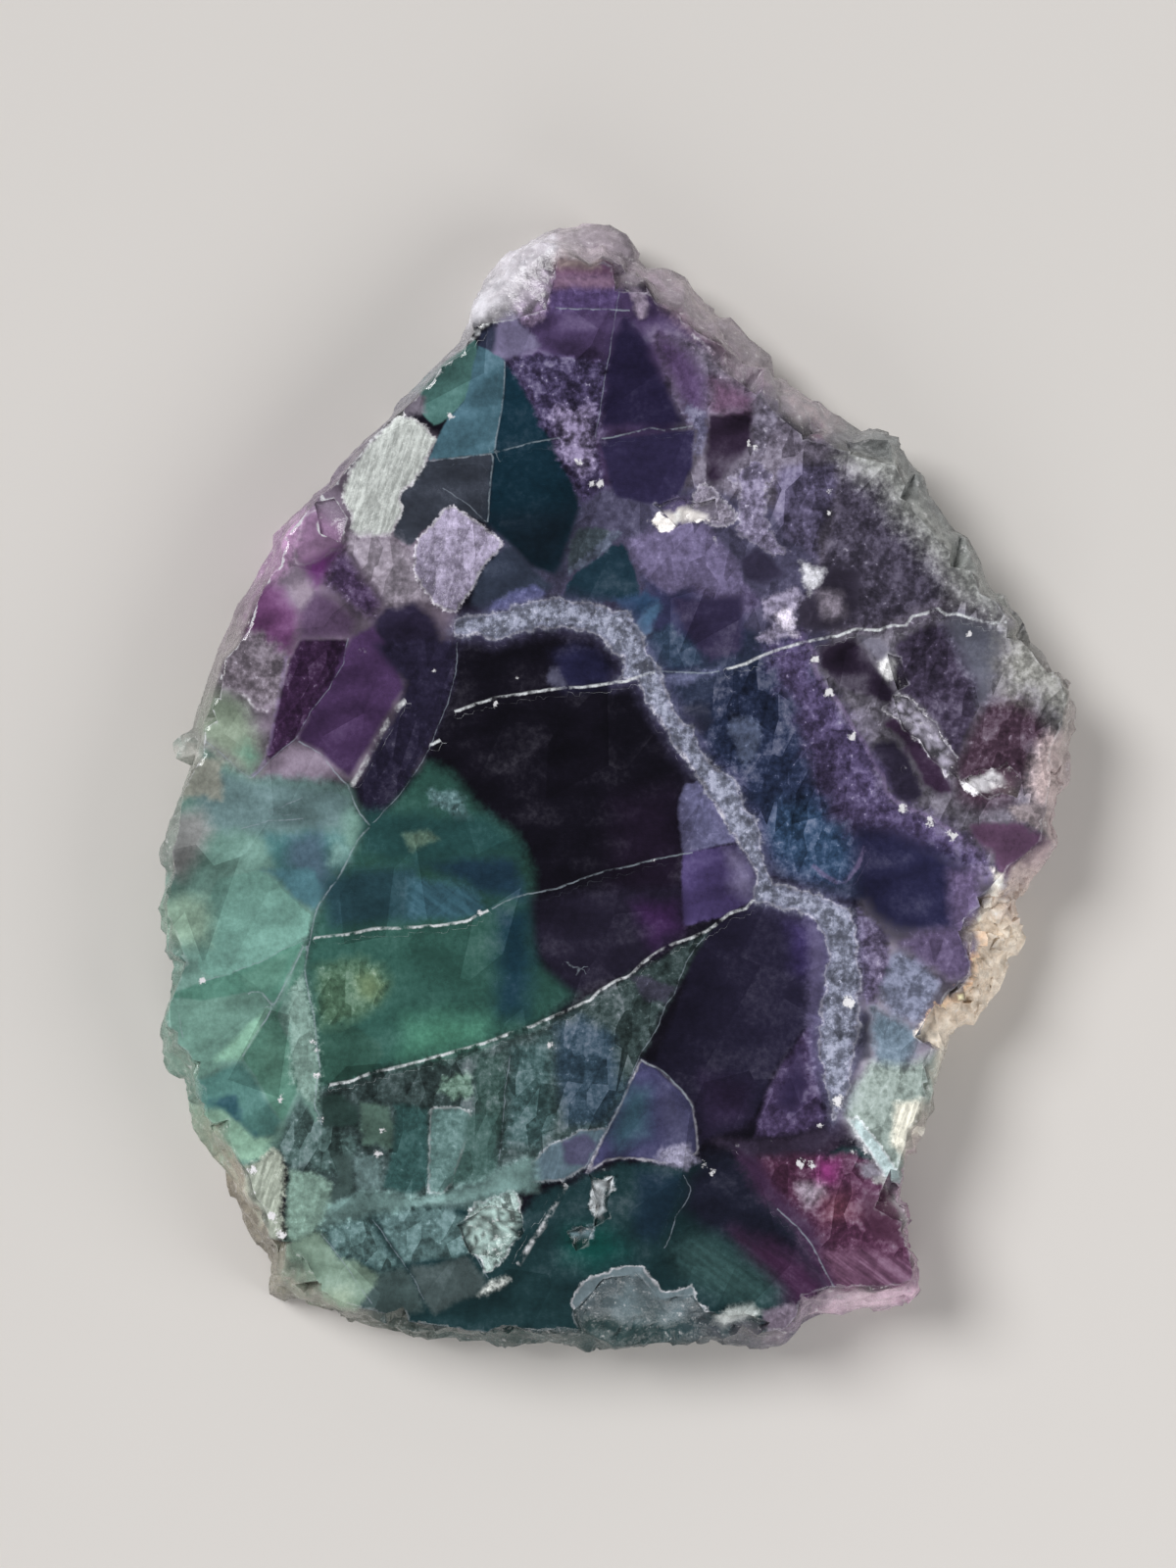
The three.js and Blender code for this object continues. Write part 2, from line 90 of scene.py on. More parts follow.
stoneZones = [
    patch("crown purple", (72, 58, 92), [(-11, 43), (-9, 47), (-6.5, 50), (-5.8, 53), (1, 53), (5, 48.5),
          (10, 45), (17, 40), (16.8, 33), (8, 30), (-1, 29), (-3.5, 28), (-6, 34)], spread=0.35, soft=1.0,
          fade=(160, 0.25)),
    patch("left flank", (120, 108, 124), [(-38, 19), (-32, 29), (-22, 37), (-18, 35), (-16, 16), (-20, 1),
          (-27, -0.5), (-37, 0.3), (-44, 5), (-42, 12)], spread=0.3, soft=0.8, fade=(180, 0.2)),
    patch("left fan", (106, 140, 131), [(-45, 5), (-37, 0.3), (-27.2, -0.4), (-25, -4.6), (-31.6, -16),
          (-30, -35.5), (-34, -37), (-40, -42), (-45, -36), (-48, -24), (-48, -8), (-46, -2)], spread=0.2,
          milk=0.6, soft=1.0),
    patch("green field", (50, 88, 80), [(-19.2, 2), (-21.4, -0.8), (-24.8, -4.6), (-27, -7.6),
          (-30.6, -14), (-31.6, -19), (-30.4, -27), (-30, -31), (-24, -29.4), (-15, -27.2), (-8, -25),
          (-4, -21.6), (-6, -20), (-8.2, -18), (-8.4, -9), (-10, -5.6), (-14, -2.6), (-16.6, 0.8)],
          spread=0.1, soft=1.0, fade=(200, 0.2)),
    patch("lower middle", (60, 76, 76), [(-30, -31), (-15, -27.2), (-5, -23.5), (1.6, -19.8), (10, -15),
          (4.6, -24), (1, -32), (-2.6, -38.6), (-8, -41), (-20, -43.5), (-30, -46), (-34, -38),
          (-30, -35.4)], texture="veil", spread=0.35, soft=0.5, fade=(-90, 0.2)),
    patch("foot", (29, 54, 58), [(-9.4, -44), (-8, -42.4), (0.4, -39), (8.6, -39), (21, -38), (31, -36),
          (33, -56), (16, -60), (-34, -60), (-34, -47), (-25, -44), (-14, -43)], soft=0.6, fade=(180, 0.2)),
    patch("right dark", (108, 104, 116), [(18, 15), (30, 17), (38, 21), (48, 14), (48, -4), (44, -12),
          (36, -8), (28, -2), (26, 3), (20, 11)], texture="veil", spread=0.35, soft=1.0, fade=(30, 0.2)),
    patch("lower right", (122, 116, 130), [(25, -5.6), (34, -8), (43, -10), (44, -16), (36, -26),
          (34, -34), (30, -42), (22, -34), (25, -18)], spread=0.3, soft=0.6),
    patch("upper right", (102, 96, 111), [(4, 46), (17, 42), (27, 37), (39, 20), (39, 16), (24, 15),
          (14, 15), (3, 15), (4, 25), (7, 33)], texture="veil", spread=0.35, soft=0.8, fade=(45, 0.25)),
    patch("heart ground", (76, 74, 98), [(-12, 28), (-4, 30), (8, 30), (20, 27), (22, 14), (10, 8),
          (2, 18), (-8, 19), (-13, 24)], texture="veil", soft=0.8),
    patch("blue ground", (48, 56, 78), [(3, 18), (8, 16), (18, 15), (24, 4), (26, -6), (26, -12),
          (22, -12), (15, -9), (12, -1), (7, 5), (4, 12)], texture="veil", soft=0.5),
    patch("wine band", (108, 80, 104), [(-6.4, 53), (0.6, 53), (0.8, 51.4), (-6.2, 51.2)], soft=0.6),
    patch("pink band", (130, 104, 128), [(-6.2, 51.5), (0.8, 51.5), (0.8, 50.2), (-6.4, 50)],
          texture="streak", soft=0.6),
    patch("blue purple band", (85, 70, 112), [(-6.4, 50.2), (0.6, 50.3), (0.2, 48), (-7, 48)],
          texture="veil", soft=0.6),
    patch("crown indigo", (38, 33, 62), [(-0.8, 43), (0.2, 46), (1, 47.5), (3, 45), (5, 41), (6.5, 38),
          (7.5, 36.3), (4, 36), (1.5, 36.2), (-1.6, 36)], spread=0.1, milk=0.4, soft=0.7),
    patch("crown strip", (130, 115, 116), [(-6.2, 53.4), (-1.4, 53.4), (-1.4, 52.2), (-6, 52.3)],
          milk=0.8, soft=0.6),
    patch("crown lump", (178, 166, 172), [(-6, 53.4), (-5.4, 57.4), (-2.6, 58), (-1, 57.2), (0.8, 56),
          (1.2, 54.6), (0, 53.7), (-1.6, 53.8), (-2.4, 53.3), (-3.8, 53.2)], spread=0.3, milk=0.85,
          soft=0.5, rim=0.2),
    patch("shoulder", (214, 214, 222), [(-15, 49.8), (-13.9, 51.8), (-11.8, 54), (-8.6, 57), (-6.6, 57.4),
          (-5.5, 56.8), (-5.5, 55.2), (-6.3, 53.8), (-7.4, 52.9), (-9, 51.8), (-9.4, 50.4), (-10.2, 49.4),
          (-12.6, 48.2), (-14.2, 46.6), (-16.2, 45.8)], texture="ribs", spread=0.3, milk=0.95, soft=0.6,
          ragged=0.4, rim=0.3, fade=(140, 0.2)),
    patch("shoulder haze", (120, 104, 130), [(-9.5, 50), (-8, 52.4), (-6.3, 52.4), (-6.4, 50), (-6.8, 48),
          (-7.2, 47), (-8.6, 46.4), (-9.8, 47.2), (-10.4, 48.6)], texture="grain", spread=0.4, milk=0.8,
          ragged=0.5),
    patch("shoulder facet", (112, 106, 136), [(-12, 46.8), (-10.5, 48), (-8.8, 46), (-7.6, 44.4),
          (-9, 43.6), (-10.9, 43), (-12.3, 42), (-13.2, 41.2), (-12.6, 44)], fade=(120, 0.2)),
    patch("shoulder dark", (45, 50, 70), [(-13.8, 45.5), (-12, 46.6), (-12.2, 44), (-13, 43),
          (-13.9, 43.8)], ragged=0.2),
    patch("sea green", (76, 114, 110), [(-19, 41.4), (-16.6, 43.2), (-14.2, 45), (-14, 43.6),
          (-14.1, 41.5), (-14.6, 38.8), (-15.2, 38.8), (-17, 36.9), (-18.4, 36.2), (-20, 38),
          (-20.5, 40)], milk=0.6, soft=0.15, ragged=0.1),
    patch("plum chip", (110, 104, 116), [(-21.8, 38.6), (-20, 39.8), (-19.2, 39), (-19.2, 37.2),
          (-21.4, 37.4)]),
    patch("teal facet", (73, 106, 120), [(-13.9, 44.4), (-11.2, 43), (-11.2, 41), (-11.5, 38),
          (-12.3, 33.4), (-14.7, 33.2), (-19, 32.7), (-18.2, 34.6), (-17, 36.9), (-15.2, 38.8),
          (-14.6, 41.5)], spread=0.2, milk=0.6, soft=0.15, ragged=0.1, fade=(180, 0.2)),
    patch("deep teal", (18, 46, 60), [(-11.1, 42.8), (-10, 41.5), (-9, 39.5), (-8, 37.6), (-7, 36),
          (-6, 34), (-5, 32), (-4, 30), (-3.5, 28), (-6, 21), (-8.6, 22), (-10.4, 24), (-12.9, 26.2),
          (-12.7, 30), (-12.3, 33.3), (-11.9, 37), (-11.3, 40)], spread=0.1, milk=0.4, ragged=0.2,
          fade=(100, 0.35)),
    patch("deepest teal", (20, 36, 48), [(-12.9, 27), (-4, 28), (-5.4, 21.5), (-8.6, 22), (-10.4, 24)],
          milk=0.4, soft=1.5),
    patch("grey notch", (58, 63, 74), [(-19, 32.6), (-12.4, 33.4), (-12.7, 30), (-12.9, 26.2),
          (-16.6, 28), (-17, 27.6), (-18.8, 26), (-20, 25), (-20.9, 23.8), (-22.2, 24.8), (-22.7, 25),
          (-22, 26.8), (-21.6, 27.6), (-21.9, 28.6), (-21.6, 29.8), (-20.9, 30), (-19.4, 32.3)],
          soft=0.15, ragged=0.15),
    patch("crown lace ground", (72, 64, 96), [(-11, 43), (-7.7, 43.6), (-0.7, 42.6), (-1.4, 38),
          (-2, 34.8), (-1, 30), (-3.4, 28.2), (-4, 30), (-4.8, 31.5), (-5.8, 33), (-6.2, 35),
          (-7.6, 36.2), (-8.2, 38.5), (-9.6, 40.6), (-10.8, 42.6)], texture="lace", spread=0.5, ragged=0.5),
    patch("crown lace", (120, 110, 140), [(-6.2, 38), (-2.4, 38), (-1.8, 35), (-2.2, 32), (-3.4, 31),
          (-5.2, 33), (-6, 35.5)], texture="lace", spread=0.5, milk=0.7, soft=0.9, ragged=1.0),
    patch("crown block", (47, 42, 73), [(-1.6, 34.8), (8.2, 35.9), (8, 32), (6.5, 29), (5, 28), (0, 29)],
          spread=0.1, soft=0.25, ragged=0.15),
    patch("frosted patch", (182, 187, 184), [(-26.8, 31.8), (-25, 34.4), (-23.2, 36.2), (-21.8, 37.4),
          (-20.4, 36.8), (-19.4, 36.2), (-18.7, 35.2), (-18.1, 34.7), (-18.9, 33.6), (-19.4, 32.3),
          (-20.3, 30.8), (-20.9, 30), (-21.7, 29.8), (-21.9, 28.6), (-21.6, 27.6), (-22.3, 26.2),
          (-22.8, 25.2), (-24.5, 24.9), (-26.2, 25), (-27, 25.6), (-26.6, 27), (-27.6, 28.4),
          (-27.6, 29.8)], texture="ribs", spread=0.28, milk=0.85, soft=0.3, ragged=0.3, rim=0.6,
          fade=(150, 0.15)),
    patch("lilac haze", (140, 132, 144), [(-27, 25.4), (-25, 25), (-22.8, 25), (-21.6, 24.2),
          (-20.8, 23.4), (-20.2, 22), (-19.6, 20), (-18.6, 18.8), (-20.5, 18.4), (-22.6, 17.9),
          (-23.4, 18), (-24, 19.2), (-25, 20.5), (-26, 22), (-27.4, 24)], texture="veil", spread=0.2,
          milk=0.7, soft=0.9, ragged=0.5),
    patch("frosted lilac", (144, 136, 160), [(-16.6, 28), (-15, 27), (-13.4, 26), (-12, 24.8),
          (-11.4, 24.2), (-12, 23.3), (-13, 22.4), (-13.9, 21), (-14.2, 20), (-15, 19), (-15.8, 17.8),
          (-16.2, 17.2), (-17.3, 17.5), (-18.4, 18.2), (-19.6, 19.8), (-20.4, 21.4), (-20.3, 23.6),
          (-19.8, 25), (-18.6, 26), (-17.2, 27.8)], texture="veil", spread=0.26, milk=0.9, soft=0.3,
          ragged=0.3, rim=0.7, fade=(60, 0.2)),
    patch("magenta facet", (146, 116, 148), [(-31.9, 27.2), (-30, 27.4), (-28.4, 26.4), (-27.5, 25),
          (-27.7, 23.8), (-29.3, 23), (-31.6, 21.9), (-32.8, 22.3), (-32.3, 24.6)], milk=0.6, soft=0.8,
          rim=0.3),
    patch("pink strip", (188, 150, 188), [(-37.4, 20), (-36, 23.5), (-35.6, 26), (-32, 29), (-31.7, 27.2),
          (-32.5, 24), (-33.4, 21.6), (-35.2, 20)], milk=0.7, soft=0.8),
    patch("hot magenta", (104, 66, 106), [(-37.4, 18), (-35.8, 20.4), (-34, 19.8), (-33, 18.5),
          (-32.2, 17), (-32.4, 15), (-33, 13), (-34.5, 13.6), (-36, 14), (-38.8, 15)], spread=0.3,
          milk=0.6, soft=0.8),
    patch("magenta haze", (130, 118, 132), [(-33, 20), (-31, 20.6), (-30.5, 19.5), (-32, 17.4)], milk=0.7,
          soft=0.5),
    patch("plum wedge", (95, 50, 102), [(-31.8, 22), (-29, 23.4), (-27.6, 24), (-28.6, 22), (-29.6, 20.2),
          (-30.4, 19.6)], soft=0.8),
    patch("purple wedge", (76, 60, 90), [(-27.8, 23.8), (-26.6, 22.2), (-25, 20), (-23.8, 18.2),
          (-24.6, 16.4), (-26.4, 17.5), (-28, 18.8), (-29.8, 20.3), (-29, 22)], texture="lace",
          spread=0.35, soft=0.8),
    patch("mauve block", (97, 77, 106), [(-32.3, 17), (-30.6, 19.4), (-29, 18.8), (-27.4, 17.5),
          (-26.4, 16.5), (-26.8, 14.6), (-32, 14.4)], soft=0.8, ragged=0.15),
    patch("round indigo", (48, 42, 66), [(-24.6, 16), (-23.2, 17.8), (-20.4, 18.3), (-18.8, 17),
          (-17.8, 15.6), (-18, 14), (-19.5, 12.5), (-21.5, 12), (-24.5, 12), (-25, 14.5)], milk=0.4,
          soft=0.6),
    patch("slate facet", (53, 61, 78), [(-14.6, 18), (-14.2, 20), (-13.4, 21.8), (-12, 23.2), (-11, 24),
          (-10, 23.6), (-8.5, 21.8), (-7, 20.4), (-6, 20), (-8, 18), (-12, 16.6)], ragged=0.15),
    patch("blue lilac chip", (88, 92, 132), [(-12.4, 18.2), (-10.5, 19.4), (-8, 20), (-7, 19),
          (-8.6, 18.2), (-11, 17.2), (-13, 17.4)], texture="lace"),
    patch("crackled grey", (108, 100, 110), [(-39, 14.4), (-36, 15), (-33.4, 13), (-33.2, 11), (-34, 8),
          (-34.6, 7), (-36.4, 7), (-37.6, 8.4), (-39.4, 9.6), (-41, 10.6)], texture="lace", spread=0.3,
          milk=0.8, soft=0.7, ragged=0.8),
    patch("yellow green", (130, 144, 128), [(-42, 9.6), (-39, 9), (-37.5, 8), (-36.8, 5.8), (-36, 4),
          (-36.4, 1.4), (-37, 0.4), (-40, 2.5), (-43.5, 4.8), (-43, 7)], milk=0.6, soft=1.5),
    patch("green spot", (104, 140, 124), [(-37.4, 4), (-36.2, 2.5), (-37, 1), (-38.5, 3)], milk=0.6,
          soft=1.1),
    patch("plum field", (62, 40, 70), [(-32, 14.4), (-27.2, 14.4), (-27.4, 12), (-29, 9), (-31, 6.6),
          (-32.6, 4.2), (-35.6, 1.8), (-35, 4.6), (-34, 9), (-33, 12.5)], texture="veil", spread=0.3,
          milk=0.45, soft=0.2, ragged=0.15, fade=(200, 0.2)),
    patch("violet field", (76, 54, 92), [(-27, 14.5), (-24.6, 15.8), (-22, 12), (-21.5, 9.5), (-23, 7),
          (-25, 3.6), (-27, 0.4), (-28.6, 1.6), (-30, 3), (-32.4, 4.2), (-31, 7), (-28.8, 10)],
          spread=0.14, milk=0.45, ragged=0.15, fade=(80, 0.25)),
    patch("inner flank", (40, 36, 58), [(-24.6, 14), (-18, 14.6), (-16, 14.4), (-16.4, 10), (-17.8, 6),
          (-19, 3), (-21.4, -0.8), (-24.8, -4.4), (-26.6, -0.8), (-24.6, 3.4), (-22, 7.6), (-21.4, 10)],
          texture="veil", milk=0.4, soft=0.6, fade=(60, 0.2)),
    patch("grey teal", (96, 120, 122), [(-44, 3), (-40, 1), (-36.5, 0.2), (-28, -0.4), (-26.6, -2),
          (-28, -5), (-34, -5.4), (-42, -5)], spread=0.15, milk=0.7, soft=1.1, fade=(150, 0.15)),
    patch("teal band", (72, 114, 116), [(-36, -5), (-28, -5), (-27, -8), (-29, -10), (-34, -10.4)],
          spread=0.2, milk=0.6, soft=0.9),
    patch("navy shade", (82, 106, 122), [(-33, -6), (-30, -5), (-29, -9), (-29, -11.5), (-31, -12),
          (-33.5, -8)], soft=1.1),
    patch("green white", (116, 150, 146), [(-28.6, -6), (-27.2, -7), (-27.2, -8), (-29, -8.5)], milk=0.8,
          soft=0.9),
    patch("mauve rim", (126, 128, 128), [(-46.2, -3), (-42, -3), (-41, -5), (-42.5, -8), (-44, -10),
          (-47.4, -9), (-47.6, -7)], milk=0.8, soft=1.2),
    patch("olive rim", (140, 143, 134), [(-45.4, -2), (-42, -1.5), (-40, -2), (-40, 2), (-44, 3)],
          milk=0.7, soft=0.5),
    patch("pale fan", (108, 148, 138), [(-40.5, -10), (-36, -9), (-33, -11.5), (-31, -13.6),
          (-31.2, -15.6), (-33, -16.8), (-36, -18.4), (-39, -19.5), (-41, -20), (-42.5, -19), (-42, -15),
          (-41.4, -12)], spread=0.12, milk=0.7, soft=0.2, ragged=0.15, fade=(-60, 0.15)),
    patch("lime fan", (140, 168, 150), [(-47.6, -13), (-44.6, -11.6), (-42, -12), (-41.2, -14),
          (-41.4, -16.4), (-43.4, -16.6), (-47, -16.4)], spread=0.15, milk=0.7, soft=1.2),
    patch("blue fan", (80, 120, 130), [(-36, -9), (-30.5, -9), (-29.6, -11), (-30.4, -13.4), (-33, -11.6),
          (-34, -10)], spread=0.15, milk=0.6, ragged=0.2),
    patch("green fan", (85, 130, 116), [(-45.8, -22), (-43, -20.8), (-41.4, -20.3), (-39, -19.5),
          (-36, -18.3), (-33.6, -17), (-31.4, -15.9), (-33, -19), (-34.6, -22.6), (-35.6, -21.8),
          (-37, -21.4), (-42, -22.4)], spread=0.12, milk=0.65, soft=0.15, ragged=0.1, fade=(20, 0.15)),
    patch("shaded fan", (88, 130, 116), [(-38.2, -20), (-36, -18.6), (-33, -17.4), (-34, -20.6),
          (-35.6, -21.6), (-37.4, -21.4)], spread=0.15, milk=0.6),
    patch("fan facet", (106, 142, 131), [(-46, -22.4), (-37.4, -21.7), (-36.2, -21.4), (-35, -22.8),
          (-36, -25.2), (-37.4, -27.4), (-38, -28.2), (-40, -29), (-42.6, -30.4), (-46, -30), (-46, -25)],
          spread=0.12, milk=0.65, soft=0.15, ragged=0.1, fade=(200, 0.15)),
    patch("light wedge", (130, 172, 152), [(-38, -28.2), (-41, -28.6), (-39, -26.6), (-37, -24.6),
          (-35.2, -23), (-36.4, -26)], spread=0.12, milk=0.75, ragged=0.15),
    patch("green wedge", (86, 128, 114), [(-31.4, -15.9), (-31.6, -19), (-32.6, -21), (-34.6, -23),
          (-37.9, -28.2), (-36.6, -30), (-35, -33), (-33.8, -34.8), (-33, -33), (-32.2, -31), (-33, -27),
          (-34.4, -24)], spread=0.15, milk=0.6, soft=0.15, ragged=0.1),
    patch("wedge shade", (86, 126, 112), [(-36.6, -28), (-35, -26), (-33.6, -27), (-33.4, -30),
          (-35, -31)], soft=0.8),
    patch("low teal", (80, 121, 116), [(-45.6, -31), (-42, -30.4), (-39, -29), (-38, -28.6), (-36.8, -30),
          (-35.4, -32.6), (-34, -34.6), (-34.6, -36), (-36.6, -36.4), (-38.4, -34.4), (-40, -33.4),
          (-44, -33.4)], spread=0.15, milk=0.65, ragged=0.15, fade=(180, 0.15)),
    patch("teal blot", (50, 86, 96), [(-41.4, -32.6), (-38.6, -32), (-38.2, -34), (-36.6, -36),
          (-38.8, -34.6), (-40, -33.2)]),
    patch("pale green", (130, 165, 146), [(-44, -34), (-40, -33.4), (-38.4, -34.6), (-36.8, -36.4),
          (-34.8, -36.2), (-35.4, -38), (-36, -38.6), (-38.4, -38.8), (-39.8, -40.2), (-43, -37.4)],
          spread=0.15, milk=0.75),
    patch("fan veil", (116, 142, 134), [(-32, -19.8), (-31.5, -21), (-30.8, -23.5), (-30.4, -26),
          (-30, -28.4), (-30.2, -31), (-30.4, -33), (-31.8, -32.4), (-33, -30), (-33, -27), (-33.4, -24),
          (-33, -21.4)], texture="veil", milk=0.8, soft=0.5, ragged=0.7),
    patch("deep blue", (36, 36, 66), [(-6, 13), (-4, 13.8), (-2, 13.4), (-1, 12.5), (-0.4, 11),
          (-0.3, 10), (-5, 9.4), (-6, 10.6)], soft=1.2),
    patch("grey cone", (72, 72, 92), [(-6.9, 9.9), (-6.4, 11.4), (-5.8, 11.5), (-5.2, 10.4), (-5, 9.5)]),
    patch("plum core", (33, 24, 42), [(0, -2), (6, -1), (7, -8), (6.6, -15), (0, -14)], milk=0.4, soft=2.5),
    patch("pale chip", (80, 108, 110), [(-18.8, -0.8), (-17.6, -1.2), (-16, -1), (-15, -3), (-14.4, -4),
          (-16, -4.6), (-17, -3), (-18.6, -2.4)], texture="lace", spread=0.35, milk=0.8, ragged=0.5),
    patch("deep green", (40, 76, 76), [(-25.4, -3), (-19, -3.4), (-13, -3.6), (-9.4, -7), (-20, -8.4),
          (-26, -7.6)], spread=0.1, soft=1.0),
    patch("olive haze", (90, 115, 101), [(-21.6, -5.4), (-19, -5), (-18, -6), (-20.5, -7)],
          texture="veil", soft=0.5),
    patch("blue teal", (36, 62, 80), [(-20, -8.2), (-14, -7.6), (-10, -8), (-9, -12), (-13, -11.6),
          (-16, -10)], spread=0.1, soft=1.0),
    patch("dark teal", (43, 73, 82), [(-30, -10), (-26, -9), (-20, -8.6), (-20, -14), (-29, -15)],
          spread=0.1, soft=1.0),
    patch("light teal streak", (60, 96, 110), [(-21, -10), (-15.6, -10.4), (-14, -11.5), (-13, -13),
          (-15, -14), (-21, -14)], texture="streak", soft=0.7),
    patch("lime glow", (76, 106, 86), [(-30.6, -19), (-26, -18), (-24, -18.6), (-22.8, -20.6),
          (-24, -22.8), (-27, -24.6), (-30, -25), (-30.4, -21)], texture="veil", spread=0.25, milk=0.6,
          soft=1.0),
    patch("lime spot", (102, 124, 94), [(-26.2, -20), (-24.6, -19.6), (-23.8, -21), (-24.6, -22.2),
          (-26, -21.8)], milk=0.7, soft=1.0),
    patch("green facet", (54, 90, 80), [(-30, -25.2), (-26.6, -25), (-24, -26.6), (-23.6, -28),
          (-24.4, -29.4), (-27, -30.4), (-29.8, -31), (-30, -28)], soft=0.3, ragged=0.15),
    patch("mint glow", (76, 130, 110), [(-21, -24.6), (-17, -24), (-13, -24.4), (-13.6, -26.4),
          (-18, -27.6), (-21.6, -28)], spread=0.1, milk=0.6, soft=2.0),
    patch("field shade", (28, 58, 72), [(-12, -13), (-8.6, -13), (-8.4, -20), (-9, -24), (-12, -24)],
          spread=0.1, soft=1.6),
    patch("plum black", (36, 32, 49), [(-8.4, -12), (0, -11), (6.8, -11), (7, -15.4), (5, -17), (2, -19),
          (-1, -20.6), (-4, -21.6), (-7, -19), (-8, -16)], milk=0.4, soft=0.9),
    patch("purple glow", (60, 36, 76), [(2, -12.6), (6, -12.6), (6.6, -15), (4, -17)], soft=1.4),
    patch("haze by the crack", (70, 70, 86), [(1.6, -19.8), (3.6, -20), (6.2, -21), (5.2, -22.8),
          (3, -22)], texture="veil"),
    patch("vein patch blue", (132, 166, 206), [(2, 17), (4.4, 17), (3.8, 15.4), (3, 15.2), (2.2, 16)],
          milk=0.8),
    patch("navy pocket", (30, 42, 66), [(3, 14.5), (8, 15), (8, 11.5), (4.8, 11.4), (3.6, 13)]),
    patch("lavender facet", (94, 94, 126), [(7.2, -0.4), (8.4, 0), (9.4, -1), (10.2, -2.6), (11.4, -4.6),
          (12.6, -6), (10.5, -6.6), (7, -7.4), (6.6, -5), (6.5, -2)], texture="veil", milk=0.6, soft=0.2,
          ragged=0.15, fade=(60, 0.2)),
    patch("violet facet", (66, 56, 96), [(7, -7.4), (10, -6.8), (12.4, -6.4), (13.6, -8), (14.6, -10.4),
          (14.3, -12), (12.6, -13), (11, -13.8), (7, -14.8), (6.8, -10)], milk=0.55, soft=0.2,
          ragged=0.15, fade=(180, 0.25)),
    patch("pale facet edge", (108, 102, 132), [(11.6, -7), (13.6, -8), (14.4, -10.4), (13.8, -12),
          (12.2, -11)], milk=0.7, soft=1.2),
    patch("mottled rim", (128, 110, 124), [(1, 54.4), (3.5, 53.8), (7, 52.4), (10, 49.4), (12, 48.4),
          (17, 42.6), (16, 40), (12, 41), (10, 44), (7.5, 46), (5, 48.5), (1.5, 52.5)], spread=0.35,
          milk=0.75, soft=1.2, ragged=0.5),
    patch("pale rim", (158, 148, 146), [(5, 53), (8, 52), (12, 48.6), (17.4, 42.6), (15, 42.6),
          (11, 46.6), (8, 49.4)], spread=0.3, milk=0.8, soft=1.0, ragged=0.5),
    patch("crown pale facet", (134, 122, 140), [(1.5, 50.5), (2.4, 50.4), (3.4, 48.5), (3.2, 47),
          (2.6, 47), (1.9, 48.5)], texture="lace", milk=0.8),
    patch("purple haze", (88, 70, 106), [(4.5, 46), (7.5, 44), (9.5, 41), (9.4, 38), (8.5, 36.5),
          (7.5, 37), (6, 40), (4, 44)], texture="veil", soft=1.3),
    patch("magenta grey", (112, 86, 112), [(10, 41), (14, 39.5), (13.6, 37.6), (10, 37.6)],
          texture="veil", soft=0.9),
    patch("grey veil", (84, 82, 106), [(7, 38.7), (7.4, 37), (8.3, 35.8), (8.2, 33.2), (9, 33.5),
          (9.6, 36), (9.3, 37.5), (8.5, 38)], texture="veil", spread=0.4, milk=0.7, ragged=0.6),
    patch("wine dark", (50, 38, 58), [(9.7, 37.2), (12.5, 37.5), (14, 37.9), (13.9, 36), (14, 34.5),
          (13, 33), (11, 31), (10, 30), (9.5, 31), (9.3, 33.3)], spread=0.35, milk=0.4),
    patch("grey fragments", (100, 95, 111), [(14, 37.8), (16.5, 38), (16.8, 36), (15.5, 35), (15.3, 33),
          (14.2, 33.5)], texture="lace", spread=0.4, milk=0.7, ragged=0.6),
    patch("plum indigo", (98, 92, 120), [(16.8, 32), (22.5, 32.5), (22.8, 30), (22, 27), (20.6, 24.8),
          (20.6, 22.5), (19, 24), (17.5, 24.5), (16.5, 27), (16.4, 30)], texture="veil", spread=0.4,
          soft=0.6),
    patch("rough purple", (76, 71, 88), [(23, 31.5), (27, 30.5), (30, 26), (33, 22), (34, 19), (30, 17),
          (26, 15.6), (21, 15.5), (18.5, 15), (18.5, 18.3), (21, 21), (21.5, 24.5), (22.5, 28)],
          texture="lace", spread=0.35, soft=0.8, fade=(40, 0.25)),
    patch("near black purple", (54, 49, 64), [(20, 22), (25, 21.5), (25, 18), (23, 15.6), (18.8, 15.4),
          (18.6, 18), (20.5, 19)], milk=0.4, soft=1.0),
    patch("pink haze", (134, 126, 140), [(21, 19.2), (23.2, 19), (23.4, 17), (21.4, 16.5)],
          texture="grain", milk=0.7, soft=0.9),
    patch("green rim", (138, 140, 138), [(24.5, 36), (26.8, 36.8), (29.4, 35.8), (32.4, 31), (33.6, 28),
          (36, 25), (39.4, 20.5), (40, 18), (39, 16.5), (35, 18.5), (33.5, 21), (31, 24.5), (28.5, 27),
          (27, 30), (25, 31), (23, 33)], texture="lace", spread=0.28, milk=0.8, soft=2.2, ragged=0.9),
    patch("pink edge", (184, 166, 170), [(17, 42.4), (19.8, 40.6), (20.8, 39), (25, 37), (23, 35.5),
          (21, 35.5), (19, 37), (17.5, 39)], milk=0.85, soft=0.9, ragged=0.6),
    patch("magenta bit", (112, 72, 102), [(20, 37), (21.5, 36.5), (21, 35), (19.5, 36)]),
    patch("lavender vein", (112, 106, 130), [(11.8, 30.6), (13.5, 32), (15, 32.6), (15.9, 30.6),
          (15.5, 29), (15.2, 27), (16.2, 25), (17.3, 23.3), (16.3, 22.9), (15, 23.8), (14, 24.6),
          (12.4, 25.5), (12.6, 27.2), (13, 29)], texture="lace", spread=0.45, milk=0.85, ragged=0.6,
          rim=0.15),
    patch("violet heart", (82, 74, 104), [(4, 25.6), (6, 29), (8, 29), (8, 26.5), (10, 25), (11.6, 22.8),
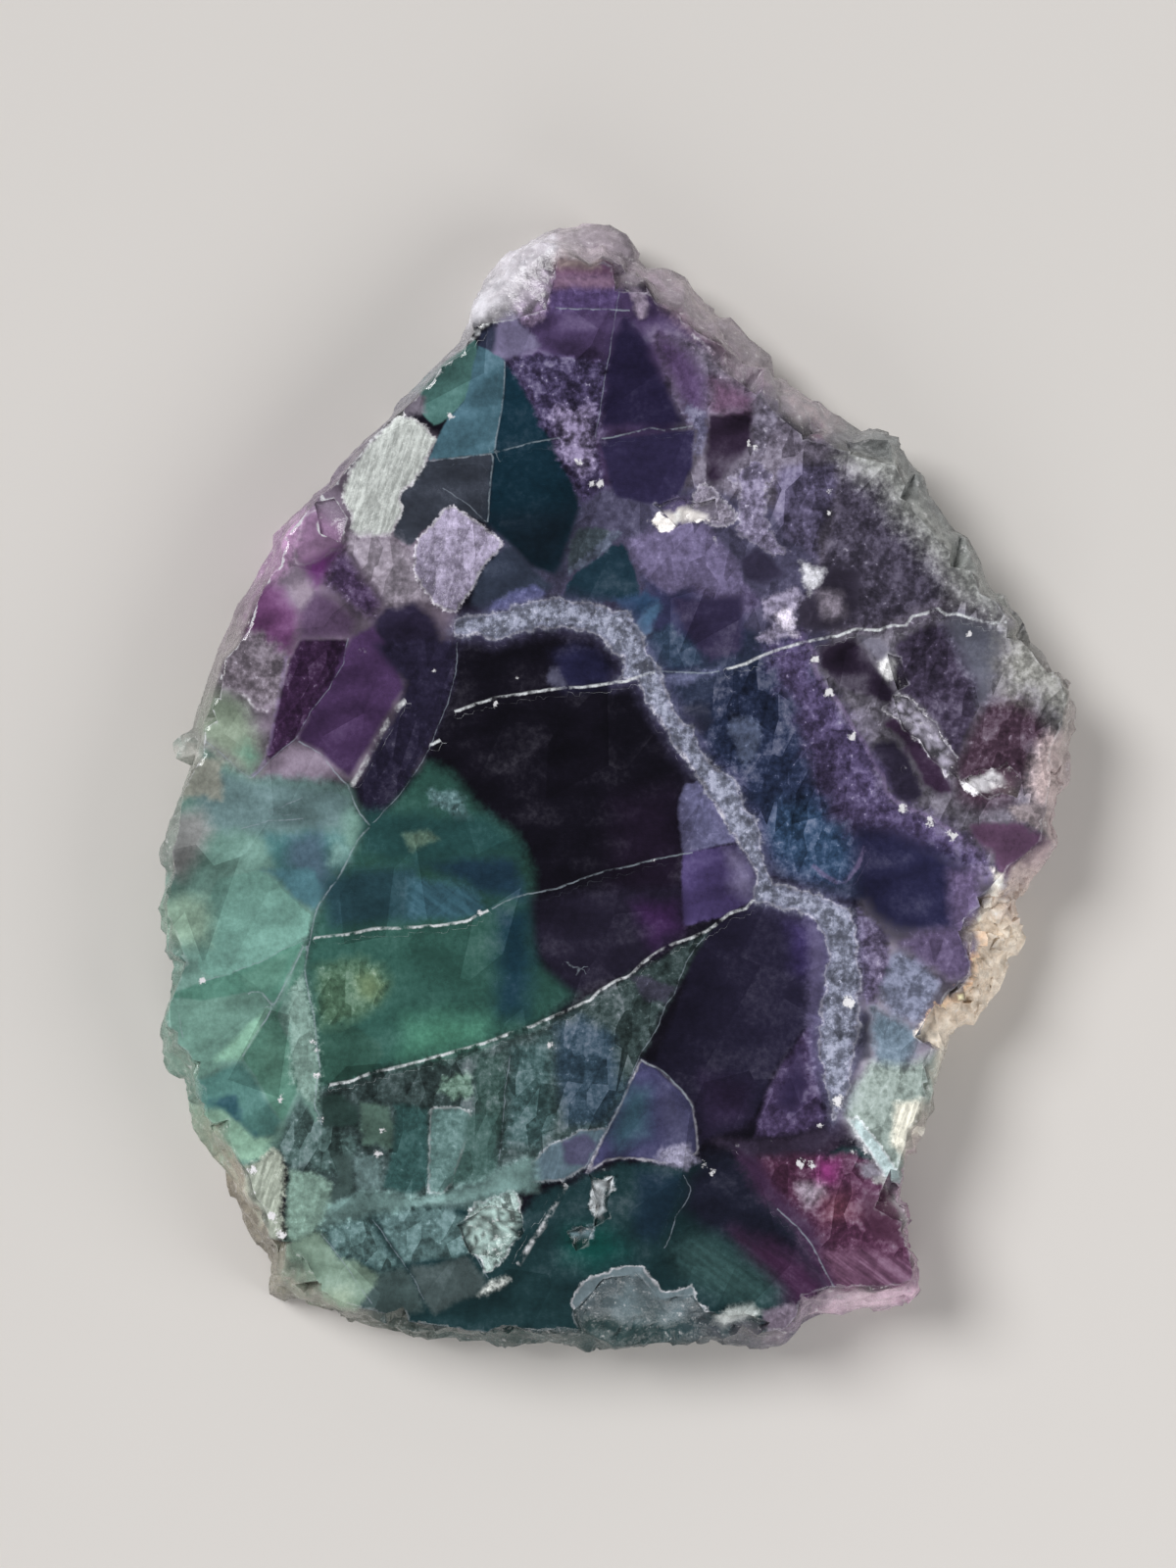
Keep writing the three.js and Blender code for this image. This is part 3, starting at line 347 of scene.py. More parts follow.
          (13, 20.5), (14.5, 19), (15, 18), (13, 16.4), (9, 18), (5, 20)], texture="veil", spread=0.3,
          soft=0.5),
    patch("night heart", (54, 56, 88), [(3.4, 24), (6, 21), (9, 18), (13, 16.6), (13, 15), (10, 14),
          (7, 14.4), (3, 15.4)], milk=0.45, soft=1.2),
    patch("lavender shoulder", (112, 104, 138), [(1.3, 24.4), (3.5, 25.5), (7.1, 26.1), (9.7, 25.9),
          (11.1, 23.9), (12.6, 22.1), (13.1, 19.3), (10.2, 19.3), (7.5, 20.1), (5.7, 19), (4, 20.1),
          (2.6, 21.7)], texture="veil", soft=0.5),
    patch("violet hollow", (50, 44, 72), [(5.7, 18.8), (9, 18.6), (13, 18.8), (13, 13.2), (9.8, 12.2),
          (8.6, 13.4), (6.8, 16)], milk=0.4, soft=0.5),
    patch("teal heart", (30, 54, 68), [(-5.4, 18.4), (-4.3, 21), (-1.4, 23), (-0.3, 24.1), (1.1, 24.1),
          (2.2, 21), (2.7, 18.6), (0, 18.2), (-3.4, 18.2)], milk=0.4, soft=0.2),
    patch("grey facets", (64, 74, 82), [(-4.5, 24.4), (-3.6, 25.7), (-1.4, 25.9), (-0.3, 25.3),
          (-1.6, 23), (-4.5, 21.3), (-4.8, 22)], texture="veil", soft=0.2),
    patch("grey wisp", (86, 94, 112), [(-4.8, 20.9), (-4.2, 22.3), (-2.2, 23.7), (-0.4, 25.1), (1, 25.6),
          (0.2, 24.5), (-1.6, 23), (-3.6, 21.6)], texture="veil", milk=0.7, soft=0.25),
    patch("blue haze", (46, 70, 100), [(0, 18.4), (3.1, 19.3), (4.4, 18.4), (3.3, 17.3), (2, 15.7),
          (0.9, 17.3)], soft=0.5),
    patch("blue crescent", (74, 104, 134), [(2.2, 15.7), (3.3, 17.5), (4.4, 18.4), (4.9, 17.9), (4, 16.4),
          (3.1, 15.3), (2, 15.3)], milk=0.6, soft=0.5),
    patch("indigo teal", (50, 66, 88), [(3.1, 14.4), (5.7, 16.1), (8.6, 13.3), (8.9, 11.7), (2.9, 11.7)],
          texture="veil"),
    patch("druzy block", (122, 116, 132), [(8, 29), (8.8, 30.3), (10, 29.9), (11, 28.6), (12.4, 27.2),
          (12.2, 26.4), (10.5, 25.9), (9.8, 26.2), (8, 27.2)], texture="grain", spread=0.35, milk=0.9,
          rim=0.3),
    patch("white ridge", (232, 227, 224), [(3.1, 26.4), (4.4, 27.1), (5.7, 27.3), (6.6, 28), (8, 27.9),
          (8.9, 27.1), (9.7, 26.9), (9.9, 26.3), (8.6, 26.3), (7.1, 26.5), (5.3, 25.6), (4.2, 25.7)],
          texture="grain", milk=1.0, soft=0.2, ragged=0.5),
    patch("dark chunk", (56, 52, 74), [(12.6, 22.6), (14.6, 23.8), (16, 22.7), (17.3, 21), (16.3, 20.5),
          (15, 20), (13.4, 20.6)], ragged=0.3),
    patch("lavender", (128, 122, 144), [(15, 18.4), (17, 19), (18.6, 20), (19.2, 18.2), (18, 17.5),
          (18.4, 15.4), (16, 14), (14, 14.6), (16, 16)], texture="lace", spread=0.35, milk=0.7, ragged=0.6),
    patch("white chunk", (206, 198, 216), [(16.6, 17), (18.3, 17.9), (18.4, 15.8), (17.6, 15.4),
          (18.5, 14.9), (17.2, 15.2)], texture="grain", milk=1.0, ragged=0.4),
    patch("white cluster", (186, 186, 194), [(18.9, 22.4), (20.3, 21.8), (21.3, 21.3), (21, 20.3),
          (19.9, 19), (19.3, 20.5)], texture="grain", milk=1.0, ragged=0.5),
    patch("blue pool", (43, 53, 80), [(11, 11), (16, 12.8), (16.8, 10), (18, 7), (19.4, 3), (20, 0),
          (21.8, -2), (22, -5), (25, -5.6), (25.6, -6.4), (24.6, -9), (23.2, -10.4), (20, -10.2),
          (17.5, -9.5), (16, -8), (14.9, -5), (13.4, -3), (13, -0.5), (12, 0.6), (10, 1.6), (9, 4),
          (8.6, 7), (10.5, 9.6)], texture="veil", spread=0.35, soft=0.5, fade=(-60, 0.3)),
    patch("teal pool", (48, 70, 98), [(17, -2), (21, -2.6), (23.6, -6), (24.4, -9), (22.8, -10),
          (19.6, -9.6), (16.6, -7.6), (15.4, -5)], texture="veil", spread=0.35, milk=0.6, soft=1.4),
    patch("pale oval", (88, 98, 124), [(12, 6.8), (13.6, 6.4), (14.8, 5.6), (14.9, 4), (14.2, 2.4),
          (13.2, 1.6), (12.5, 2.6), (12.2, 4), (11.6, 5)], texture="lace", ragged=0.3),
    patch("pool shade", (40, 44, 62), [(6.5, 7.8), (9.6, 8), (10, 6.2), (9, 4.6), (8, 5.4), (6.8, 6.6)],
          milk=0.4, soft=0.5),
    patch("violet band", (88, 78, 114), [(18.6, 15), (19.8, 13.8), (20.6, 12.8), (20.4, 11.4),
          (21.2, 9.8), (22.4, 8.6), (23.4, 7.2), (24.2, 5.6), (25.4, 4), (26, 2.6), (26.6, 1.4),
          (27.4, 0.6), (27.6, -1), (28.6, -2), (30, -2.8), (31.6, -3.4), (33, -4.2), (35, -5.4),
          (37.8, -8), (38, -10), (34, -7.4), (30, -6.6), (27, -5.4), (24, -5), (22, -3), (20.2, 0),
          (19.2, 4), (18, 8), (16.4, 10.6), (15.4, 13.6)], texture="lace", spread=0.35, milk=0.6,
          soft=1.4, ragged=0.8, fade=(35, 0.35)),
    patch("grey bits", (120, 115, 131), [(24, 7), (25.4, 7.6), (26.6, 6), (27, 4.6), (25.6, 4.2),
          (25, 5.4)], texture="lace", milk=0.7),
    patch("dark plum", (42, 33, 50), [(20.8, 13.8), (24.4, 14.6), (26, 12.8), (27, 11), (28.6, 9),
          (28, 7.4), (26.8, 8.4), (24.6, 9), (23, 9.6), (22.4, 10.2), (21, 11.6)], spread=0.35, milk=0.4),
    patch("slate plum", (46, 41, 59), [(26, 3.8), (28.4, 4.2), (30, 2.4), (31, 0), (31.4, -1.6),
          (30, -2.4), (28.4, -1.6), (27.6, 0), (26.4, 1.8)], milk=0.45),
    patch("wine purple", (58, 42, 64), [(28.4, 6.4), (30.4, 5.4), (32.6, 2.8), (33.8, 0.4), (34.4, -1),
          (33, -1.6), (31.6, -0.4), (30.4, 2), (28.8, 4.6), (27.6, 5.8)], milk=0.45),
    patch("purple grey", (70, 62, 83), [(28.6, 14), (31, 15.5), (33.5, 16), (36, 15), (37, 12),
          (37.4, 8.5), (36.4, 6), (35.2, 3), (34.6, 2), (33, 5.6), (31, 8), (29, 9.2), (28.4, 10.4),
          (28.8, 12.6)], texture="veil", spread=0.35),
    patch("druzy stripe", (136, 132, 146), [(27.6, 7.2), (28.4, 8.4), (29.2, 8.9), (30.5, 8), (32.6, 5.8),
          (34, 3.4), (34.8, 2.2), (33.8, 0.4), (33, 2.4), (32.2, 2.6), (31, 4), (30.2, 5.4), (28.6, 6.2)],
          texture="grain", spread=0.5, milk=0.9, ragged=0.5, rim=0.6),
    patch("white patch", (228, 228, 230), [(26.8, 12), (27.6, 12.6), (28.4, 12.4), (28.6, 11.2), (28, 10),
          (27.4, 10.4)], texture="grain", milk=1.0, ragged=0.4),
    patch("grey triangle", (98, 96, 110), [(24.6, 14.8), (27, 14.6), (28.6, 13), (27, 12.2), (26, 13.2)],
          ragged=0.2),
    patch("blue grey facet", (96, 98, 112), [(33.6, 16.3), (35, 17), (37, 16.4), (39.8, 15), (39, 12.4),
          (38.4, 9.6), (37.6, 7.6), (37, 8), (37, 10), (35.6, 12), (34.6, 14.4)], milk=0.6, soft=1.2,
          ragged=0.2),
    patch("right plum", (72, 53, 68), [(37.4, 8), (40, 8.8), (42, 8.6), (44, 6), (44.5, 4), (42.6, 3),
          (42, 0), (40.5, -2.4), (37, -3), (35, -2), (34.6, 1.6), (36, 4.6), (37, 6.6)], texture="veil",
          spread=0.35, soft=1.2),
    patch("right rim", (136, 136, 132), [(40, 16.6), (42.4, 14.8), (44.8, 13), (47.4, 10.2), (47.8, 8),
          (48, 6.4), (46.4, 5), (44.4, 7), (42.6, 8.8), (40.2, 9), (39.2, 12)], texture="lace",
          spread=0.28, milk=0.8, soft=2.2, ragged=0.9),
    patch("pink brown rim", (190, 172, 172), [(44.6, 5), (47, 4.4), (47.2, 2.6), (46.6, 1.6), (47.2, 0),
          (46.4, -1.6), (45.6, -3.4), (43, -2.4), (42.4, -0.4), (42.8, 2), (43.4, 3.6)], texture="grain",
          milk=0.8, soft=1.2),
    patch("grey rim", (136, 126, 130), [(40, -2.6), (43, -2.2), (46, -3.4), (45.6, -6), (43.4, -5),
          (41, -4)], texture="grain", milk=0.75),
    patch("white cross", (226, 224, 230), [(35.2, 0), (36.2, -0.2), (37.6, 0.6), (38.6, 1.3), (38.8, 0.6),
          (39.4, 0.8), (39.8, 0), (39.6, -0.6), (38, -1.2), (36.6, -1.4), (35.6, -0.8)], texture="grain",
          milk=1.0, soft=0.2, ragged=0.3),
    patch("plum magenta", (98, 72, 98), [(36, -4.4), (41, -4.2), (45, -6), (44, -9), (43, -10),
          (39.6, -10), (38.4, -7.4), (36.8, -6)]),
    patch("plum strip", (150, 132, 136), [(40.6, -9), (44, -9), (43.4, -11.4), (42.6, -13), (40.4, -11)]),
    patch("navy pocket low", (40, 40, 70), [(24.6, -4.6), (28.6, -5), (33.2, -7), (36.4, -9), (36.6, -13),
          (34.6, -16), (31, -15.8), (28.6, -15.6), (26.2, -14), (24.6, -11.4), (24.4, -8)], milk=0.45,
          soft=1.4, ragged=0.3, fade=(20, 0.3)),
    patch("violet cheek", (98, 86, 118), [(34, -9), (37, -9), (37.4, -12), (37, -15), (37.4, -18),
          (36, -20), (34, -20.6), (31.6, -18.6), (28.8, -16.6), (31, -15.4), (34.4, -14.8)],
          texture="veil", milk=0.6, soft=0.9, fade=(30, 0.3)),
    patch("grey blue", (110, 115, 136), [(27, -18.6), (29, -17.4), (31, -18), (33.4, -20.4),
          (32.4, -22.6), (31, -24.6), (28.6, -24), (27, -22), (26.6, -20.4)], texture="lace", spread=0.3,
          milk=0.75, soft=0.7),
    patch("low teal blue", (102, 119, 134), [(26.2, -23), (29, -24.4), (31.4, -25.8), (30.4, -28),
          (28.8, -30), (27, -30), (26.2, -27)], texture="veil", milk=0.65, soft=0.8),
    patch("plum bubbles", (96, 88, 114), [(24.8, -13), (27, -14.6), (28, -16), (28, -19), (27, -21),
          (26.6, -22.6), (25.4, -22.6), (25, -19.6), (24.9, -16)], texture="lace", spread=0.45, milk=0.7,
          ragged=0.5),
    patch("pale green tongue", (130, 143, 138), [(26, -28.6), (30, -29), (32.6, -27.6), (34, -27),
          (34, -29), (33.4, -31), (33, -33), (32.4, -36), (31.6, -38), (30.6, -40), (29.6, -42),
          (27.6, -39.6), (26, -37.6), (24.4, -35.6), (23.4, -34), (23.4, -32.6), (24.4, -31),
          (25.4, -29.8)], texture="veil", spread=0.25, milk=0.75, soft=0.8),
    patch("cream tongue", (214, 212, 198), [(28.6, -33), (31.4, -32.6), (32.6, -35), (31.6, -38),
          (30.6, -40), (28.4, -37)], texture="ribs", spread=0.35, milk=0.85, soft=0.6),
    patch("dark slit", (56, 56, 68), [(24.8, -23.4), (25.6, -23), (26, -24), (26, -27), (26.3, -28.2),
          (25.2, -28.5), (24, -30.6), (23.6, -31), (24.2, -28.4), (24.5, -25.5)], ragged=0.2),
    patch("tan crust", (250, 236, 220), [(37.4, -14), (39.6, -14.4), (41.6, -13.4), (44, -14.6),
          (44, -16.4), (42.4, -18.6), (41.6, -22), (38.6, -25.4), (37, -26), (34.6, -26), (33.6, -27.4),
          (33, -27.4), (31.6, -26), (30.8, -25.8), (32, -24), (34, -22.4), (35.6, -20.6), (37, -18.6),
          (37.2, -16)], texture="grain", spread=0.45, milk=1.0, ragged=0.5),
    patch("rusty grains", (200, 166, 136), [(37.6, -15.4), (39.8, -17), (39, -19.6), (36.6, -21.6),
          (34.4, -24.2), (32.4, -25.4), (31.6, -24.8), (33.6, -22.6), (35.6, -20.6), (36.8, -18.4)],
          texture="grain", spread=0.5, milk=1.0, ragged=1.1),
    patch("cream crust", (248, 242, 230), [(38.4, -8.8), (39.6, -9.4), (39.4, -11), (40.6, -12.4),
          (40.2, -14), (38.4, -14.4), (37.4, -13.6), (38.4, -11.8), (39, -10.6)], texture="grain",
          spread=0.2, milk=1.0, ragged=0.5),
    patch("pink crust", (206, 172, 166), [(39.6, -13.4), (41.6, -12.6), (43.2, -14), (41, -15),
          (40, -14.6)], texture="grain", milk=0.95),
    patch("moss blue", (51, 71, 86), [(-6, -25), (-3.4, -24), (0, -26), (0.6, -32), (-1, -35), (-5, -35),
          (-6, -30)], texture="veil", spread=0.3, soft=0.9),
    patch("moss green", (66, 92, 93), [(-10.4, -27.4), (-6.6, -26), (-6.2, -35), (-8, -37.4), (-11, -37)],
          texture="veil", spread=0.35, soft=0.8),
    patch("moss olive", (58, 82, 78), [(-14.4, -28.4), (-11, -27.6), (-11.4, -36), (-14, -36)],
          texture="veil", spread=0.3, soft=0.6),
    patch("spray", (92, 118, 106), [(-17, -30), (-14.6, -30), (-14.4, -32), (-16, -32.4), (-18, -31.6)],
          texture="lace", spread=0.35, milk=0.75, ragged=0.6),
    patch("pale block", (86, 114, 112), [(-18.8, -33.4), (-16, -33.2), (-14.6, -33.8), (-14.8, -36),
          (-15.6, -38), (-16.6, -41), (-17.4, -42), (-19, -42), (-18.9, -38)], texture="veil",
          spread=0.22, milk=0.7, ragged=0.25, rim=0.4),
    patch("dark olive", (66, 94, 90), [(-15, -34), (-12, -34), (-12, -39.6), (-13.4, -41), (-17, -41.2),
          (-15.6, -38)], texture="veil", ragged=0.2),
    patch("slate triangle", (92, 112, 124), [(-10, -40), (-8, -38.6), (-6.6, -37), (-5, -36.6),
          (-3.6, -35.6), (-0.6, -35.4), (-2.6, -39), (-5, -40.6), (-10, -41)], texture="ribs", ragged=0.2,
          rim=0.3),
    patch("lilac triangle", (80, 80, 106), [(-5.4, -36.6), (-3, -36), (-1.6, -37), (-2.8, -39),
          (-5, -39.4)]),
    patch("rounded facet", (66, 66, 100), [(2.6, -28.4), (4.6, -29.4), (6.8, -31.4), (8, -33), (8.6, -38),
          (5, -39), (3.6, -38.6), (0.6, -38.4), (-1, -38.8), (-2.8, -39.8), (-1, -36), (1, -32.4)],
          spread=0.3, ragged=0.15, rim=0.5, fade=(150, 0.3)),
    patch("rounded facet teal", (55, 81, 96), [(1.4, -31), (3.6, -31.4), (3.4, -36), (0.4, -37.6),
          (-0.6, -36)], soft=1.4),
    patch("rounded facet plum", (70, 70, 98), [(5, -31), (7.4, -33.4), (7.8, -37), (5.4, -37.6),
          (4.6, -34)], soft=1.2),
    patch("lilac cluster", (122, 120, 142), [(4, -38.8), (5, -37.4), (7.6, -37), (8.6, -38.6),
          (7.6, -39.4), (5.4, -39.2)], texture="grain", milk=0.95, ragged=0.4),
    patch("indigo block", (35, 32, 52), [(10, -15), (12, -13.6), (14, -12.4), (17, -12.8), (19.6, -13.6),
          (21.2, -15), (21.8, -17), (21.6, -20), (20.4, -22), (20, -24.4), (18, -27), (16, -30),
          (14.8, -33), (13.4, -35), (9, -36.6), (8.4, -34), (7.4, -32), (5.6, -30.6), (4, -29),
          (5.2, -26), (6.8, -22), (8, -18)], spread=0.1, milk=0.4, ragged=0.2, fade=(0, 0.35)),
    patch("indigo glow", (60, 50, 96), [(18, -14.6), (21, -15), (21.4, -18), (20.8, -20.4), (18.6, -19)],
          soft=1.6),
    patch("plum glow", (48, 38, 64), [(9, -30), (13.6, -31), (13.6, -34.4), (9.4, -35.6)], milk=0.45,
          soft=1.6),
    patch("purple wedge low", (72, 60, 92), [(20, -24.6), (19, -26), (17, -29), (15.4, -32), (14.6, -35),
          (14.4, -36.4), (18, -36), (20.6, -35.4), (21.6, -34.4), (20.8, -31), (20.4, -27)],
          texture="veil", spread=0.3, ragged=0.2),
    patch("wedge heart", (50, 42, 72), [(19, -27.4), (19.6, -31), (18.4, -34), (16.4, -33), (17.4, -30)],
          soft=1.0),
    patch("glassy strip", (150, 158, 146), [(-39.6, -39.6), (-36.4, -38.8), (-34.8, -37.4), (-33.8, -38),
          (-33.6, -41), (-34, -44), (-33.6, -46), (-34, -47), (-35, -46.8), (-38.4, -43)], texture="ribs",
          spread=0.35, milk=0.85, ragged=0.5),
    patch("corner block", (110, 115, 101), [(-36.6, -50), (-33.6, -50.6), (-32.8, -53.6), (-36, -53.6)],
          texture="grain", milk=0.75),
    patch("grey teal low", (78, 101, 99), [(-34.4, -37.2), (-33.6, -35), (-32.6, -33), (-32, -32.2),
          (-30.8, -34), (-29.8, -35.4), (-27, -36), (-26, -37), (-28, -40), (-30, -40), (-31, -38.8),
          (-33, -39.4)], texture="veil", spread=0.35, ragged=0.3),
    patch("black green", (50, 72, 68), [(-30, -32), (-28, -32), (-26, -33), (-26, -35), (-29.8, -35.4)]),
    patch("black green low", (64, 82, 80), [(-29, -38), (-26.8, -38), (-26.6, -42), (-29, -42.8),
          (-28, -40)], ragged=0.25),
    patch("olive block", (88, 114, 104), [(-26, -32.6), (-23, -33.4), (-22.4, -35), (-22.6, -37.4),
          (-25.6, -37)]),
    patch("slate block", (94, 116, 116), [(-26.6, -38), (-24, -38.4), (-23.4, -41.6), (-26.4, -42)],
          texture="veil", milk=0.7, ragged=0.2),
    patch("teal block", (55, 88, 87), [(-22.4, -33), (-19, -33.4), (-19, -41), (-20.6, -42.4),
          (-23.6, -41.4), (-22.6, -38)], texture="veil", ragged=0.2),
    patch("hazy band", (124, 156, 153), [(-30, -45.6), (-29, -43), (-26, -42), (-23, -42), (-20, -42.6),
          (-17.6, -42), (-14, -41), (-12, -39.8), (-8, -38), (-8, -41.6), (-11, -42), (-14, -43),
          (-17.6, -43), (-20, -43.4), (-24, -44), (-27, -44.6)], spread=0.3, milk=0.75, soft=0.8,
          fade=(200, 0.15)),
    patch("light green", (122, 149, 138), [(-33.2, -39.6), (-30.6, -40), (-28.8, -41), (-28.6, -43),
          (-29.6, -45), (-31.6, -46.6), (-33.4, -47), (-33.4, -43)], texture="veil", milk=0.7, ragged=0.3),
    patch("mottled teal", (90, 118, 118), [(-30, -45.8), (-27, -44.8), (-25, -44.6), (-23.6, -47),
          (-22, -49.2), (-24, -50), (-26, -48.8), (-28.4, -48.4)], texture="veil", spread=0.35, soft=0.9),
    patch("low green", (112, 134, 120), [(-34.4, -47.6), (-31, -46), (-30, -46), (-28, -48.6), (-26, -49),
          (-24, -50.4), (-26.4, -54.4), (-31, -55), (-34, -52)], spread=0.25, milk=0.65),
    patch("pale low green", (130, 148, 130), [(-29.6, -52), (-27, -51.6), (-26.6, -54), (-30, -54.4)],
          milk=0.7, soft=1.0),
    patch("dark oval", (72, 90, 90), [(-24, -50.2), (-22, -49.6), (-21, -50), (-19.8, -52), (-19.4, -54),
          (-23, -54.6), (-26, -53.6), (-25, -51.4)]),
    patch("slate teal block", (90, 117, 118), [(-24.4, -44.2), (-18, -43.4), (-15, -44.6), (-14.8, -48),
          (-16.4, -48.6), (-19, -48.6), (-21.4, -49.2), (-22.8, -47)], texture="veil", spread=0.3,
          milk=0.6, ragged=0.2),
    patch("dark low facet", (72, 86, 87), [(-21, -49.4), (-18.8, -49.4), (-15, -48.4), (-13, -51),
          (-14, -52.4), (-16, -53), (-18.4, -54.4), (-19.4, -53)], ragged=0.2),
    patch("white granular", (136, 156, 152), [(-15, -43.6), (-12.6, -42.6), (-10.4, -41.6), (-9.8, -42.8),
          (-9.6, -44.4), (-9.8, -46), (-10.8, -47.6), (-11.6, -49.2), (-13, -50), (-14.4, -48.2),
          (-15.2, -46)], texture="grain", spread=0.45, milk=0.9, ragged=0.5, rim=0.5),
    patch("white low chip", (196, 202, 198), [(-12.6, -51), (-10.6, -50.6), (-11.2, -51.4), (-13, -52.2),
          (-14, -52.4)], texture="grain", milk=0.95),
    patch("emerald glow", (20, 76, 71), [(-4.6, -46), (-1, -45.6), (1, -48), (-2, -49.6), (-5, -48.6)],
          soft=2.0),
    patch("blue foot", (28, 48, 63), [(2.4, -39.6), (7, -40), (6.6, -43), (4.4, -47), (2, -46)], soft=1.0),
    patch("druzy tuft", (166, 172, 176), [(-2.2, -41.6), (-1, -40), (0, -40.2), (-0.2, -41.6),
          (-1, -42.4), (-1.2, -44.6), (-2, -44.4), (-2.8, -43.4)], texture="grain", spread=0.5, milk=0.95,
          soft=0.2, ragged=0.5),
    patch("druzy tuft low", (84, 102, 108), [(-4.8, -45.6), (-3.4, -45.4), (-2.2, -45.2), (-2, -46.8),
          (-3, -46.4), (-4.4, -47)], texture="grain", spread=0.5, milk=0.95, soft=0.2, ragged=0.5),
    patch("low flake", (98, 112, 118), [(-4.2, -53.2), (-3.4, -51.2), (-2, -50.6), (-0.4, -49.8),
          (1.4, -49.4), (3, -49.6), (3.8, -50.8), (4.8, -52.2), (6.6, -51.8), (7.8, -51.6), (8.6, -53.2),
          (9.6, -54), (8, -54.8), (4, -56), (1.2, -55.6), (-0.8, -54.8), (-3.6, -55.2)], milk=0.75,
          soft=0.3, rim=0.7),
    patch("low flake right", (168, 174, 172), [(10.6, -54.6), (11.6, -53.6), (13.9, -53.2), (15.2, -54.2),
          (13, -55), (11, -56)], texture="grain", milk=0.95),
    patch("dark indigo low", (30, 32, 48), [(9.6, -38), (12, -38), (13.4, -39.4), (15, -42), (17, -44.4),
          (19.4, -47), (20.4, -49.4), (17, -48.6), (13.4, -47), (9.4, -46), (7, -43.6), (7.6, -40.4)],
          milk=0.4, soft=1.2),
    patch("green haze low", (56, 84, 84), [(6, -48), (8, -46.4), (10, -46.6), (12.6, -48.6),
          (15.4, -50.6), (16.4, -52), (15, -53.4), (12, -53), (9, -51.6), (7, -50)], texture="streak",
          soft=1.8),
    patch("plum low", (66, 40, 68), [(12, -46), (16, -47), (20, -49), (21.8, -51.4), (22.4, -53),
          (20, -54.6), (18, -53.4), (16, -51), (13.6, -48.6)], texture="streak", soft=1.6),
    patch("low chunk", (50, 39, 56), [(14, -37), (17, -36.6), (20, -36.4), (22, -36), (23.4, -37),
          (21.6, -38), (19.6, -39), (17.8, -38.6), (16, -38)], texture="grain", ragged=0.4),
    patch("magenta corner", (84, 50, 74), [(13.8, -38), (17, -37.2), (21, -38.2), (24.6, -38),
          (26.4, -38.8), (28, -40.4), (30, -42), (31, -45), (31.6, -49), (28, -52), (22.6, -52.5),
          (21, -49.3), (18.8, -45.3), (15, -41.8)], texture="veil", spread=0.3, milk=0.55, fade=(20, 0.2)),
    patch("plum ridge", (60, 40, 66), [(12.4, -37), (14.2, -37.6), (16.6, -41.6), (20, -45), (22, -49),
          (23.4, -52.4), (22, -52.6), (20.4, -49.6), (18, -45.6), (14.6, -42.2), (12.6, -38.8)], soft=0.9),
    patch("corner plum", (76, 46, 66), [(25.6, -42), (28.4, -42.6), (29.4, -45), (29.6, -47.4),
          (26.6, -46.6), (24.8, -44.6)], soft=0.8),
    patch("corner chips", (148, 146, 148), [(26, -38.6), (28.4, -40.4), (29.8, -42.6), (30.4, -46),
          (31, -49), (30, -48), (29.4, -45), (28.6, -42.4), (26.6, -40.6)], texture="lace", milk=0.75,
          ragged=0.6),
    patch("clear band", (166, 184, 186), [(23.7, -34.3), (24.8, -34.3), (27.1, -37.1), (28.7, -39.6),
          (29.6, -41.5), (28.7, -42.3), (27.6, -40.4), (26, -37.6), (24.6, -35.7)], texture="veil",
          milk=0.8, soft=0.25, ragged=0.2, rim=0.5),
    patch("low glow", (54, 46, 64), [(10, -36.6), (14, -36.8), (18, -36.4), (23, -34.6), (24, -36),
          (20, -38), (14, -38.4)], soft=0.8),
    patch("hot spot", (132, 50, 112), [(21, -38.8), (22.6, -39), (22.4, -40.6), (20.8, -40.8)], milk=0.6,
          soft=1.2),
    patch("pink grey haze", (146, 134, 148), [(18.6, -41), (21, -40.8), (21.6, -42.4), (19.6, -43.4)],
          texture="lace", spread=0.3, milk=0.75, soft=0.8),
    patch("brown red", (100, 58, 74), [(21, -42.4), (24, -42), (24.4, -44.4), (21.6, -45)],
          texture="veil", spread=0.3, soft=1.4),
    patch("low grey chunk", (112, 108, 120), [(24.6, -39), (26.4, -38.8), (27.6, -40), (25.4, -40.4)],
          texture="grain", milk=0.8),
    patch("streaky pink", (98, 68, 90), [(21, -48), (25, -47.6), (30, -48.8), (32, -50.6), (32, -52),
          (28, -52.8), (25, -52), (22.8, -51.4)], texture="streak", spread=0.4, milk=0.7, soft=1.0),
    patch("pale ledge", (214, 182, 200), [(20.4, -55.8), (22.4, -53.6), (25, -52.6), (28, -52), (32, -52),
          (32, -53.2), (30.4, -54.6), (26, -55), (24.8, -55.6)], texture="streak", milk=0.9, soft=0.25),
    patch("lilac ledge", (104, 94, 108), [(15, -54), (18, -53), (20.4, -54.4), (20, -56.2), (18, -58.4),
          (16, -58.4)], texture="grain", milk=0.75),
    patch("lavender shadow", (92, 86, 118), [(19.6, -13.6), (21.4, -15), (22, -18), (21.6, -22),
          (21.2, -28), (22, -33), (20.4, -30), (19.8, -24), (19.8, -18)], milk=0.6, soft=0.9),
    patch("vein glow", (84, 80, 112), veinOutline, milk=0.7, soft=1.8),
    patch("vein", (114, 118, 136), veinOutline, texture="lace", spread=0.44, milk=0.9, soft=0.6,
          ragged=0.45, rim=0.25),
    patch("vein arm", (84, 88, 116), [(5, 10.2), (7, 9.8), (9.4, 10.6), (12, 11.6), (9, 11.2), (6, 11)],
          texture="lace", milk=0.8),
]

